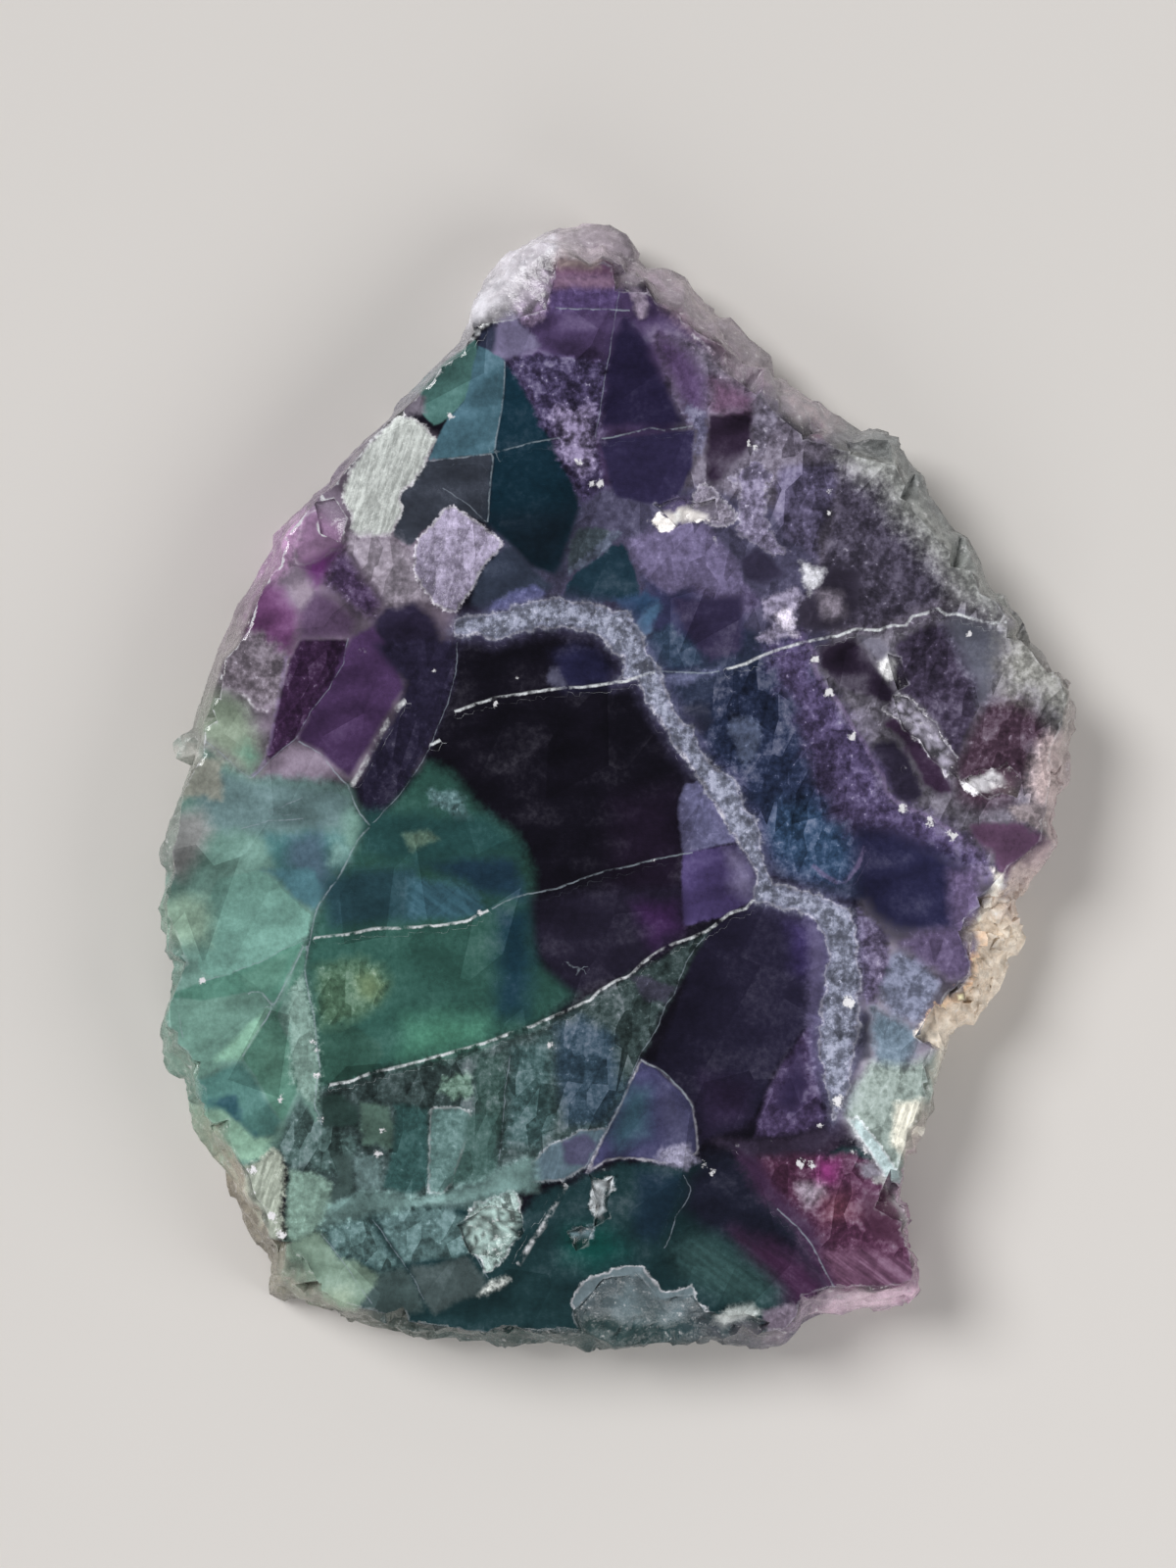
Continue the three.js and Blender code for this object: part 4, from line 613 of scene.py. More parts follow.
# fine lines, one channel each; lines that cross or meet are kept on different channels
# width: half of it in mm; gaps: how broken the line is
stoneLines = [
    {"name": "cracks", "strength": 0.95, "width": 0.13, "colour": (222, 226, 230), "gaps": 0.35,
     "paths": [
        [(-19, 3.6), (-17.4, 4.4)],
        [(-16.6, 7), (-14, 7.9), (-12, 8.5), (-9.5, 8.9), (-7, 9.3), (-5, 9.5), (-3, 9.6), (-1, 9.9),
         (1, 10.2), (3, 10.8), (4.4, 11.2)],
        [(11, 11.3), (13.4, 12), (15, 12.8), (17, 13.5), (18.6, 14), (20.5, 14.4), (22.6, 14.8),
         (24.5, 15.5), (27, 15.4), (28.3, 15.9), (29.7, 15.8), (30.3, 16.8), (32, 17.2), (33, 17.6),
         (33.8, 16.9), (35, 17.1), (36, 16.7), (38, 16.1), (40, 16.2)],
        [(-30.8, -16), (-27, -15.6), (-24.4, -15), (-22, -15), (-17, -14.6), (-15, -14.2),
         (-13.8, -13.6), (-12.6, -13)],
        [(-29.4, -31), (-27, -30.6), (-25, -29.8), (-22.4, -29.2), (-20, -28.6), (-18, -28),
         (-15, -27.2), (-12.4, -26.4), (-10, -25.4), (-8.4, -25), (-6.8, -24.2), (-5, -23.5), (-4, -23),
         (-2.4, -22.2), (-1.6, -21.4), (0, -20.4), (1.6, -19.8), (3, -18.4), (4.4, -17.4), (6.2, -16.5),
         (8, -15.9), (9.4, -15.3), (10.6, -14.4), (11.8, -13.4), (13.4, -13), (14.2, -12)]]},
    {"name": "hairlines", "strength": 0.5, "width": 0.05, "colour": (150, 160, 172), "gaps": 0.3,
     "paths": [
        [(9.4, -15.6), (8.4, -16.8), (7.4, -18.2), (6.7, -20), (6.2, -21.6), (5.2, -22.8), (4.6, -24.6),
         (3.6, -26.4), (3, -27.2), (2, -29.2), (1.4, -31), (0.6, -33), (-0.4, -35), (-1.6, -37),
         (-2.6, -38.6), (-3.2, -39.6)],
        [(0.6, 50.5), (0.1, 47.5), (-0.2, 45.5), (-0.7, 42.6), (-1.1, 40.5), (-1.4, 38), (-1.7, 36.5),
         (-2, 34.8)],
        [(-27.2, 14.6), (-27.6, 12), (-29, 9.6), (-31, 7), (-32.4, 4.4), (-33.7, 3.4), (-35, 2.2),
         (-36, 1.2), (-37.1, 0.3), (-38.4, 1.2), (-40, 2.8), (-41.3, 3.8), (-42.3, 4.6)],
        [(-38, -4.9), (-36.5, -4.4), (-35, -4), (-33.2, -4), (-31.4, -3.8)],
        [(-35.4, -3.1), (-33.6, -2.5), (-31.6, -1.6)],
        [(-42, -20.5), (-39, -19.5), (-36, -18.4), (-33.4, -17), (-31.2, -16)],
        [(-44.4, -23.4), (-44.2, -25), (-44, -26.4)],
        [(-44.5, -28.6), (-44, -29.8), (-43, -30.6)],
        [(-10.6, -27.6), (-11.2, -32), (-11.4, -36), (-11.8, -39)],
        [(-30, -46), (-28, -48.6), (-26, -51.4), (-24.6, -53.6)],
        [(-24.8, -44.4), (-22.6, -47.6), (-20.6, -50.4), (-19.4, -53)],
        [(-15.4, -46.6), (-14.2, -48.4), (-12.8, -50.8)],
        [(7, -40), (7.8, -41.6), (7.2, -43), (6.2, -44.6), (5.6, -46.6), (5, -47.8)],
        [(-17.8, 30), (-15.5, 28.6), (-13, 26.4)],
        [(-16, 14.4), (-16.1, 12), (-16.4, 10), (-17, 8), (-17.8, 6), (-18.6, 4), (-19, 3), (-20.2, 1),
         (-21.4, -0.8), (-23.2, -2.8), (-24.8, -4.4)]]},
    {"name": "bright veins", "strength": 0.9, "width": 0.24, "colour": (226, 228, 232), "gaps": 0.4,
     "paths": [
        [(-31.2, 29), (-28, 32.8), (-25, 35.6), (-22.3, 38.2), (-19, 41.4), (-17.4, 42.8),
         (-15.5, 44.4), (-14.1, 45.4), (-13.8, 46.2), (-12, 47.2)],
        [(-37.3, 18), (-38.9, 14.4), (-40.3, 11), (-41.3, 8.4), (-42.2, 6), (-43, 4.2), (-43.9, 1.4),
         (-44.8, -1.2), (-45.4, -2.4)],
        [(-40, -38.6), (-38, -41), (-36.4, -44), (-35, -46.6), (-33.6, -49), (-32, -51.6),
         (-30.8, -53.6)],
        [(-26.9, -0.6), (-26, 0.8), (-25.2, 2.2), (-24.6, 3.4), (-23.9, 4.8), (-23, 6.2), (-22, 7.6),
         (-21.1, 8.4)],
        [(-4.8, -41), (-6, -43), (-7, -45), (-8.4, -47), (-9.4, -48.6), (-10, -49.6)]]},
    {"name": "facet edges", "strength": 0.55, "width": 0.075, "colour": (160, 172, 182), "gaps": 0.3,
     "paths": [
        [(4.4, 11.2), (6, 11.1), (8, 11.1), (9.5, 11), (11, 11.3)],
        [(-12.6, -13), (-11, -12.2), (-8.6, -11.4), (-6, -11), (-4, -10.2), (-1, -9.2), (1, -8.8),
         (4, -8), (6, -7.6), (8, -7.2)],
        [(16.4, -43.4), (18.6, -45.4), (20, -47), (21, -49), (22, -51), (23, -52.4)],
        [(-32.4, 4.2), (-31, 3.4), (-30, 2.8), (-29, 1.6), (-28, 0.4), (-27.2, -0.4), (-26.6, -2),
         (-25.8, -3.4), (-24.9, -4.6)],
        [(-24.9, -4.6), (-26.2, -6), (-27, -7.6), (-27.6, -9), (-29, -11), (-30, -12.4), (-30.6, -14),
         (-31, -16), (-31.6, -19), (-31.2, -21.6), (-30.6, -24), (-30.4, -26.6), (-30, -29),
         (-30.3, -31), (-30.6, -33), (-29.9, -34.6), (-29.7, -35.4)],
        [(-37.6, -21.8), (-37, -21.5), (-36, -21.5), (-35.4, -22.2), (-34.8, -23)],
        [(-38, -28.2), (-36.4, -25.6), (-34.8, -23), (-33, -19.6), (-31.6, -16.6)],
        [(-1.5, 34.9), (1.4, 35.4), (3.8, 36), (5, 35.7), (8.2, 36.2)],
        [(-6.2, 48.2), (-3, 48.1), (1.8, 48)],
        [(2.6, -28.4), (5, -29.6), (7, -31.6), (8.2, -33.6)],
        [(-5, -18.2), (-4.4, -19), (-3.4, -19), (-4, -19.8)],
        [(-11.2, 43), (-11.2, 41), (-11.5, 38), (-12.3, 33.4), (-12.7, 30), (-12.9, 26.2)],
        [(-19, 32.6), (-15.6, 33), (-12.4, 33.4), (-8, 34.6), (-5.2, 35)]]},
    {"name": "sparkling edges", "strength": 0.85, "width": 0.16, "colour": (232, 230, 238), "gaps": 0.5,
     "paths": [
        [(-14.6, 47), (-12, 48.4), (-9.6, 49.6)],
        [(6.8, 46.2), (9, 44.6), (11.6, 42.4), (13.6, 40.6), (15.3, 39.2)],
        [(-16.8, 15.2), (-15.8, 14.6), (-14, 15), (-12, 14.4), (-10.4, 15), (-8, 15.7), (-5, 15.8),
         (-2, 15.2), (-0.8, 14), (0.8, 12.6)],
        [(2.4, 10.4), (3.4, 8), (4.4, 6.4), (5.6, 4.8), (6.4, 3.4), (7.6, 1.6), (9, 0), (10.4, -2.6),
         (11.4, -4.4), (12.4, -6), (13.6, -7.6), (14.6, -9.6), (14.6, -11)],
        [(-16.6, 28), (-15, 27), (-13.4, 26), (-12, 24.8), (-11.4, 24.2)],
        [(-18.7, 35.2), (-19.4, 32.3), (-20.3, 30.8), (-20.9, 30), (-21.7, 29.8), (-21.9, 28.6),
         (-21.6, 27.6), (-22.3, 26.2), (-22.8, 25.2)],
        [(8, 27.2), (9.5, 26.3)],
        [(15.3, 36.5), (15.4, 35)],
        [(29.6, 1.8), (29.9, 1)],
        [(28.6, -15.2), (30.6, -14.8)],
        [(-38.8, 9.4), (-37.4, 8.4), (-36.6, 7.4), (-35.2, 7)],
        [(-28.9, 28.6), (-26.8, 26.6)],
        [(1.1, 52), (2.3, 50.6), (3.5, 49.6), (4.9, 48.6)],
        [(7.3, 46.3), (8, 45.5)],
        [(24, -35.4), (25.4, -37), (26.8, -39), (28.4, -41)],
        [(9.6, -37.2), (11, -36.8), (13, -37.2), (14.4, -36.8), (16.4, -36.4)],
        [(10, 25), (10.4, 24), (11.2, 23), (11.7, 23.2)],
        [(-15.8, 17.6), (-16.2, 16.6), (-17, 15.6)],
        [(12.7, 32.3), (15.2, 32.8)],
        [(-26.2, 13.6), (-25.4, 13.2), (-24.6, 12.4)],
        [(6.6, -51.9), (7.8, -51.4), (7.4, -52.2), (8.6, -53.6), (10, -54.4)]]},
    {"name": "soft seams", "strength": 0.45, "width": 0.2, "colour": (140, 122, 162), "gaps": 0.3,
     "paths": [
        [(-33.4, 13), (-34, 9.5), (-34.8, 5.5), (-35.3, 3), (-35.8, 1.6), (-37.1, 0.3)],
        [(18.6, 15), (19.8, 13.8), (20.6, 12.8), (20.4, 11.4), (21.2, 9.8), (22.4, 8.6), (23.4, 7.2),
         (24.2, 5.6), (25.4, 4), (26, 2.6), (26.6, 1.4), (27.4, 0.6), (27.6, -1), (28.6, -2),
         (30, -2.8), (31.6, -3.4), (33, -4.2), (35, -5.4), (37.8, -8)],
        [(20, -8.4), (21.4, -9.6), (22.8, -10.4), (23.6, -10.2), (24.8, -8.6), (25.6, -6.6)]]},
]
# small white specks and painted glints: x, y, radius
specksAndGlints = [
    (-3.7, 32.4, 0.35), (-2.2, 30.3, 0.4), (-1.4, 30.3, 0.4), (-16.7, 37.2, 0.35), (-9.7, 10.5, 0.2),
    (-12.2, 7.9, 0.25), (-18.4, 11.3, 0.2), (4, -8, 0.2), (13.7, 34.5, 0.3), (14.5, 34, 0.3),
    (21.8, 27.3, 0.3), (22, 29.5, 0.3), (21.8, 9, 0.5), (20.4, 12.4, 0.5), (24.3, 4.6, 0.4),
    (29.4, -2.8, 0.5), (32.2, -4.2, 0.5), (34.4, -5.5, 0.5), (36.1, 15.1, 0.4), (40.6, -0.6, 0.4),
    (23.8, -22.6, 0.6), (22.8, -32.6, 0.6), (-30.7, -26.6, 0.3), (-30.4, -27.4, 0.3), (-30.2, -30, 0.3),
    (-29.9, -34.4, 0.3), (-42, -20.4, 0.4), (-34, -32.3, 0.4), (-6.5, -26.8, 0.35), (0, -27.2, 0.3),
    (9, -39, 0.3), (10, -39.8, 0.3), (21, -35.2, 0.3), (24.4, -37.8, 0.3), (25.6, -37.8, 0.3),
    (19, -39, 0.5), (20.2, -39, 0.4), (-37, -39.6, 0.5), (-37, -42, 0.5), (-34.8, -44.4, 0.5),
    (-34, -46.2, 0.5), (-24, -38, 0.4), (-23.6, -35.6, 0.3), (-13.8, -13.6, 0.3),
]


def onSlab(points):
    # from the drawing's coordinates to the slab's own
    centre = np.array(drawing["centre"])
    return (np.array(points, float) - centre) * drawing["scale"] + centre + np.array(drawing["zero"])


def linear(colour):
    share = np.array(colour, float) / 255
    return np.where(share <= 0.04045, share / 12.92, ((share + 0.055) / 1.055) ** 2.4)


slabShape = {
    "faceSpacing": 0.42,  # between the points of the polished face
    "backSpacing": 1.3,
    "wallEdge": 0.8,  # longest edge on the walls
    "cellSize": 2.6,  # broken facets on the walls
    "cellTilt": 0.26,
    "grainSize": 1.9,
    "grainRelief": 0.06,
    "edgeWave": 0.9,
    "edgeRagged": 0.14,
    "clear": 0.03,  # the relief stays this far inside the two flat sides
    "weld": 0.05,  # corners of the rim nearer than this become one, so that it can't cross itself
    "crease": 22,  # degrees at which an edge is sharp
    "seed": 11,
    # direction from the middle in degrees, share of the relief: the cut and melted sides are smooth
    "calm": [(-180, 0.4), (-150, 0.6), (-120, 1.0), (-45, 1.0), (-12, 0.9), (15, 0.6), (45, 0.5),
             (80, 0.5), (95, 0.4), (110, 0.5), (125, 0.4), (180, 0.4)],
}


def directionOf(places):
    return np.degrees(np.arctan2(places[:, 1], places[:, 0]))


def splitLongEdges(bm, longest):
    while True:
        long = [edge for edge in bm.edges if edge.calc_length() > longest]
        if not long:
            return
        bmesh.ops.subdivide_edges(bm, edges=long, cuts=1)
        bmesh.ops.triangulate(bm, faces=bm.faces, quad_method="SHORT_EDGE", ngon_method="BEAUTY")


def brokenRelief(point, size, tilt):
    # each cell of the fracture is a small plane with its own lean
    seedPoint = noise.voronoi(point / size)[1][0]
    lean = noise.cell_vector(seedPoint * 31.7) - Vector((0.5, 0.5, 0.5))
    return 2 * tilt * lean.dot(point - seedPoint * size)


def insideLoops(points, starts, ends):
    # even-odd test of many points against all the boundary edges
    inside = np.zeros(len(points), bool)
    for (x0, y0), (x1, y1) in zip(starts, ends):
        crosses = (points[:, 1] < y0) != (points[:, 1] < y1)
        if crosses.any():
            reach = (x1 - x0) * (points[crosses, 1] - y0) / (y1 - y0) + x0
            inside[crosses] ^= points[crosses, 0] < reach
    return inside


def edgeDistance(points, starts, ends):
    best = np.full(len(points), 1e9)
    for start, end in zip(starts, ends):
        run = end - start
        offset = points - start
        along = np.clip(offset @ run / (run @ run), 0, 1)
        best = np.minimum(best, np.hypot(*(offset - along[:, None] * run).T))
    return best


def fillFlat(bm, height, spacing, upward, slot, rng):
    # closes a flat side with an even net of triangles, fine enough to carry its markings
    rim = [
        edge
        for edge in bm.edges
        if len(edge.link_faces) == 1 and all(abs(vert.co.z - height) < 1e-4 for vert in edge.verts)
    ]
    verts = list(dict.fromkeys(vert for edge in rim for vert in edge.verts))
    place = {vert: index for index, vert in enumerate(verts)}
    flat = np.array([vert.co.xy for vert in verts])
    pairs = [(place[edge.verts[0]], place[edge.verts[1]]) for edge in rim]
    starts = flat[[a for a, b in pairs]]
    ends = flat[[b for a, b in pairs]]
    low, high = flat.min(0), flat.max(0)
    columns, rows = np.meshgrid(
        np.arange(low[0], high[0], spacing), np.arange(low[1], high[1], spacing * 0.87)
    )
    columns[1::2] += spacing / 2
    net = np.column_stack([columns.ravel(), rows.ravel()])
    net += rng.uniform(-0.2, 0.2, net.shape) * spacing
    net = net[insideLoops(net, starts, ends)]
    net = net[edgeDistance(net, starts, ends) > spacing * 0.6]
    every = [Vector(point) for point in np.vstack([flat, net])]
    points, _, triangles, origins, _, _ = delaunay_2d_cdt(every, pairs, [], 0, 1e-6)
    made = []
    for point, origin in zip(points, origins):
        known = bool(origin) and origin[0] < len(verts)
        made.append(verts[origin[0]] if known else bm.verts.new((point[0], point[1], height)))
    spots, triangles = np.array(points), np.array(triangles)
    for triangle in triangles[insideLoops(spots[triangles].mean(1), starts, ends)]:
        corners = [made[index] for index in triangle]
        face = bm.faces.new(corners if upward else corners[::-1])
        face.material_index = slot
    return starts, ends


def slabMesh():
    shape = slabShape
    rng = np.random.default_rng(shape["seed"])
    bm = bmesh.new()
    bm.from_mesh(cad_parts["fluorite_slab"].data)
    bmesh.ops.scale(bm, vec=(1 / mm,) * 3, verts=bm.verts)
    bmesh.ops.remove_doubles(bm, verts=bm.verts, dist=1e-4)
    flat = [
        face
        for face in bm.faces
        if any(all(abs(vert.co.z - level) < 1e-3 for vert in face.verts) for level in (0, faceHeight))
    ]
    bmesh.ops.delete(bm, geom=flat, context="FACES")
    splitLongEdges(bm, shape["wallEdge"])
    bm.normal_update()
    moves = []
    directions, shares = zip(*shape["calm"])
    for vert in bm.verts:
        share = np.interp(math.degrees(math.atan2(vert.co.y, vert.co.x)), directions, shares)
        if any(len(edge.link_faces) == 1 for edge in vert.link_edges):
            out = Vector((vert.normal.x, vert.normal.y, 0)).normalized()
            wave = noise.fractal(vert.co * shape["edgeWave"], 0.8, 2.1, 3)
            moves.append(out * shape["edgeRagged"] * wave * share)
        else:
            relief = brokenRelief(vert.co, shape["cellSize"], shape["cellTilt"])
            relief += shape["grainRelief"] * noise.noise(vert.co * shape["grainSize"])
            moves.append(vert.normal * relief * share)
    for vert, move in zip(bm.verts, moves):
        level = vert.co.z
        vert.co += move
        if 1e-3 < level < faceHeight - 1e-3:
            vert.co.z = min(max(vert.co.z, shape["clear"]), faceHeight - shape["clear"])
    rim = [vert for vert in bm.verts if vert.is_boundary]
    bmesh.ops.remove_doubles(bm, verts=rim, dist=shape["weld"])
    for face in bm.faces:
        face.material_index = 1
    rimStarts, rimEnds = fillFlat(bm, faceHeight, shape["faceSpacing"], True, 0, rng)
    fillFlat(bm, 0.0, shape["backSpacing"], False, 2, rng)
    mesh = bpy.data.meshes.new("fluorite slab")
    bm.to_mesh(mesh)
    bm.free()
    return mesh, rimStarts, rimEnds


def insideDistance(points, outline):
    # positive inside the outline, negative outside it
    outline = onSlab(outline)
    starts, ends = outline, np.roll(outline, -1, axis=0)
    reach = 4.0
    low, high = outline.min(0) - reach, outline.max(0) + reach
    near = np.all((points > low) & (points < high), axis=1)
    signed = np.full(len(points), -reach)
    distance = edgeDistance(points[near], starts, ends)
    inside = insideLoops(points[near], starts, ends)
    signed[near] = np.where(inside, distance, -distance)
    return signed


lineReach = {"band": 0.9, "far": 9.0}  # how far a line is felt, and what stands for further


def lineDistance(points, path, best):
    # signed distance from a fine line, kept far away past its ends so that it stays crisp
    path = onSlab(path)
    band, far = lineReach["band"], lineReach["far"]
    near = np.all((points > path.min(0) - band) & (points < path.max(0) + band), axis=1)
    spots = points[near]
    closest = np.full(len(spots), far)
    value = np.full(len(spots), far)
    for index, (start, end) in enumerate(zip(path[:-1], path[1:])):
        run = end - start
        length = math.hypot(*run)
        offset = spots - start
        along = offset @ run / length**2
        side = (offset[:, 1] * run[0] - offset[:, 0] * run[1]) / length
        distance = np.hypot(*(offset - np.clip(along, 0, 1)[:, None] * run).T)
        past = (along < 0) & (index == 0) | (along > 1) & (index == len(path) - 2)
        better = distance < closest
        closest = np.where(better, distance, closest)
        signed = np.where(past | (distance > band), far, np.copysign(distance, side))
        value = np.where(better, signed, value)
    whole = np.full(len(points), far)
    whole[near] = value
    return np.where(np.abs(whole) < np.abs(best), whole, best)


class Wire:
    # one value in a shader: plain sums of wires and numbers add their nodes
    def __init__(self, shader, socket):
        self.shader = shader
        self.socket = socket

    def maths(self, operation, first, second):
        return self.shader.node("ShaderNodeMath", {"operation": operation}, {0: first, 1: second})

    def __add__(self, other):
        return self.maths("ADD", self, other)

    def __sub__(self, other):
        return self.maths("SUBTRACT", self, other)

    def __rsub__(self, other):
        return self.maths("SUBTRACT", other, self)

    def __mul__(self, other):
        return self.maths("MULTIPLY", self, other)

    def __pow__(self, other):
        return self.maths("POWER", self, other)

    def __rpow__(self, other):
        return self.maths("POWER", other, self)

    def __abs__(self):
        return self.maths("ABSOLUTE", self, 0.0)

    __radd__ = __add__
    __rmul__ = __mul__


class Shader:
    # the nodes of one material, or of the world
    def __init__(self, owner):
        owner.use_nodes = True
        self.owner = owner
        self.tree = owner.node_tree
        self.tree.nodes.clear()

    def node(self, kind, settings, inputs, output=0):
        made = self.tree.nodes.new(kind)
        for key, value in settings.items():
            if key == "stops":
                for stop, (place, shade) in zip(made.color_ramp.elements, value):
                    stop.position, stop.color = place, shade
            else:
                setattr(made, key, value)
        for key, value in inputs.items():
            if isinstance(value, Wire):
                self.tree.links.new(value.socket, made.inputs[key])
            else:
                made.inputs[key].default_value = value
        if output is None:
            return [Wire(self, socket) for socket in made.outputs]
        return Wire(self, made.outputs[output])

    def blend(self, share, first, second):
        # colours
        return self.node("ShaderNodeMix", {"data_type": "RGBA"}, {0: share, 6: first, 7: second}, 2)

    def shade(self, look, gain):
        # a colour, lighter or darker
        grey = self.node("ShaderNodeCombineColor", {}, {0: gain, 1: gain, 2: gain})
        kind = {"data_type": "RGBA", "blend_type": "MULTIPLY"}
        return self.node("ShaderNodeMix", kind, {0: 1.0, 6: look, 7: grey}, 2)

    def between(self, share, first, second):
        # plain values
        return self.node("ShaderNodeMix", {"data_type": "FLOAT"}, {0: share, 2: first, 3: second})

    def step(self, value, start, end):
        # eases from 0 at start to 1 at end
        return self.node(
            "ShaderNodeMapRange",
            {"interpolation_type": "SMOOTHSTEP", "clamp": False},
            {0: value, 1: start, 2: end, 3: 0.0, 4: 1.0},
        )

    def split(self, value):
        return self.node("ShaderNodeSeparateXYZ", {}, {0: value}, None)

    def attribute(self, name, output=2):
        return self.node("ShaderNodeAttribute", {"attribute_name": name}, {}, output)


stoneFinish = {
    "index": 1.434,
    "polish": 0.045,  # roughness of the polished face
    "frost": 0.4,  # roughness where it is granular
    "frostFrom": (0.84, 0.96),  # cloudiness at which it turns granular
    "relief": 0.25,  # of the granular parts, in mm
    "clearGamma": 0.55,
    "bodyColour": (0.62, 0.55, 0.78, 1),
    "bodyDensity": 22.0,
    "ground": ((16, 14, 24), (21, 18, 30)),
    "groundMilk": 0.4,
    "milk": (0.48, 0.45, 0.1),  # least cloudiness, share of the zone's own, share of its paleness
    # white of the specks and painted glints
    "speckGlintWhite": (235, 234, 238),
    # white of the rim's chips and painted highlight
    "edgeChipShineWhite": (208, 210, 214),
}

# the textures that the zones share, all measured in millimetres
# turn: degrees; size: length and width; steps: where it goes from dark to light
stoneTextures = {
    "cloud": {"turn": 12, "size": (6.0, 3.5), "detail": 1.0, "steps": (0.15, 0.85), "sparkle": 0},
    "streak": {"turn": -36, "size": (8.0, 0.7), "detail": 2.0, "steps": (0.25, 0.75), "sparkle": 0},
    "ribs": {"turn": 72, "size": (3.5, 0.45), "detail": 2.0, "steps": (0.25, 0.8), "sparkle": 0.4},
}
textureNames = ("cloud", "veil", "lace", "grain", "streak", "ribs")

zonePaint = {
    # the zones' rims: a painted highlight along their edges
    "rimWidth": 0.22,
    "rimShineColour": (230, 228, 234),
    "planes": 0.3,  # how much flat planes, fine grain and a plain share lighten every zone
    "fine": 0.35,
    "plain": 0.745,
    "contrast": 2.6,
    # painted highlight: where the textures are brightest the colour goes pale
    "haze": (1.2, 4.0, 0.5),  # bright parts go pale: from, to, how much
    "highlightPale": (176, 174, 186),
}


def colour(rgb):
    return (*linear(rgb).tolist(), 1)


def stonePatterns(shader):
    place = shader.node("ShaderNodeTexCoord", {}, {}, 3)
    spot = shader.node("ShaderNodeVectorMath", {"operation": "SCALE"}, {0: place, 3: 1 / mm})

    def noiseAt(vector, scale, detail, rough=0.6):
        values = {"Vector": vector, "Scale": scale, "Detail": detail, "Roughness": rough}
        return shader.node("ShaderNodeTexNoise", {"noise_dimensions": "2D"}, values)

    def drawnOut(degrees, length, width):
        # stretched along one direction
        values = {0: spot, 2: (0, 0, math.radians(degrees)), 3: (length, width, width)}
        return shader.node("ShaderNodeMapping", {"vector_type": "TEXTURE"}, values)

    def cellsAt(vector, scale):
        values = {"Vector": vector, "Scale": scale}
        cells = shader.node("ShaderNodeTexVoronoi", {"voronoi_dimensions": "2D"}, values, 1)
        return shader.node("ShaderNodeSeparateColor", {}, {0: cells}, None)

    def drawnTexture(name):
        own = stoneTextures[name]
        drawn = shader.step(noiseAt(drawnOut(own["turn"], *own["size"]), 1.0, own["detail"]), *own["steps"])
        return drawn + sparkle * own["sparkle"] if own["sparkle"] else drawn

    fine = noiseAt(spot, 1.5, 3.0, 0.7)
    coarse = noiseAt(spot, 0.55, 2.0)
    drift = (coarse - 0.5) * 3
    shake = (fine - 0.5) * 1.4
    chips = cellsAt(spot, 1.3)[0]
    faces = cellsAt(drawnOut(57, 9.0, 4.5), 1.0)
    blocks = cellsAt(drawnOut(78, 3.0, 1.3), 1.0)[0]
    # sparkle: painted glints, added into the veil, lace, grain and ribs textures
    sparkle = shader.step(fine, 0.66, 0.8)
    return {
        "fine": fine,
        "coarse": coarse,
        "wander": [shake + drift, shake - drift, shake * 2],
        "sparkle": sparkle,
        "planes": faces[0] * 0.6 + faces[1] * 0.4,
        "veil": shader.step(blocks * 0.35 + coarse * 0.6 + fine * 0.4, 0.32, 1.02) + sparkle * 0.5,
        "lace": shader.step(coarse * 0.6 + fine * 0.4, 0.32, 0.68) + sparkle,
        "grain": shader.step(chips * 0.45 + fine * 0.8, 0.3, 0.98) + sparkle * 0.7,
        **{name: drawnTexture(name) for name in stoneTextures},
    }


def paintZones(shader, patterns, look, milk, layerCount):
    # each layer brings its own colours, cloudiness and edges with the mesh
    paint = zonePaint
    for layer in range(layerCount):
        wander = patterns["wander"][layer % 3]
        depth = shader.attribute(f"depth{layer}") + wander * shader.attribute(f"ragged{layer}")
        soft = shader.attribute(f"soft{layer}")
        mask = shader.step(depth, soft * -1, soft)
        look = shader.blend(mask, look, shader.attribute(f"paint{layer}", 0))
        milk = shader.between(mask, milk, shader.attribute(f"paint{layer}", 3))
        # painted highlight: a broken light line along the zone's edge
        near = shader.step(abs(depth), paint["rimWidth"], 0.0)
        rim = shader.attribute(f"rim{layer}") * patterns["fine"] * near
        look = shader.blend(rim * 1.2, look, colour(paint["rimShineColour"]))
    # the texture of whichever zone lies on top, and the flat cleavage planes under all of them
    amounts = shader.split(shader.attribute("texture", 1)) + shader.split(shader.attribute("grains", 1))
    gain = patterns["planes"] * paint["planes"] + patterns["fine"] * paint["fine"] + paint["plain"]
    for amount, name in zip(amounts, textureNames):
        gain = gain + amount * (patterns[name] * 2 - 1)
    gain = gain ** paint["contrast"]
    # painted highlights and glints: the brightest parts go pale, and the lace and grain sparkle
    start, end, share = paint["haze"]
    haze = shader.step(gain, start, end) * share + patterns["sparkle"] * (amounts[2] + amounts[3])
    return shader.blend(haze, shader.shade(look, gain), colour(paint["highlightPale"])), milk


def paintLines(shader, patterns, look, milk):
    whites = 0.0
    sides = shader.split(shader.attribute("lines0", 1)) + shader.split(shader.attribute("lines1", 1))
    for index, (side, line) in enumerate(zip(sides, stoneLines)):
        width, gaps = line["width"], line["gaps"]
        broken = shader.step(patterns["coarse"] * 0.6 + patterns["fine"] * 0.4, gaps, gaps + 0.3)
        offset = abs(side + patterns["wander"][index % 3] * 0.1)
        share = shader.step(offset, width * 1.7, width * 0.4) * broken * line["strength"]
        look = shader.blend(share, look, colour(line["colour"]))
        whites = share + whites
    return look, shader.between(whites * 0.8, milk, 1.0)


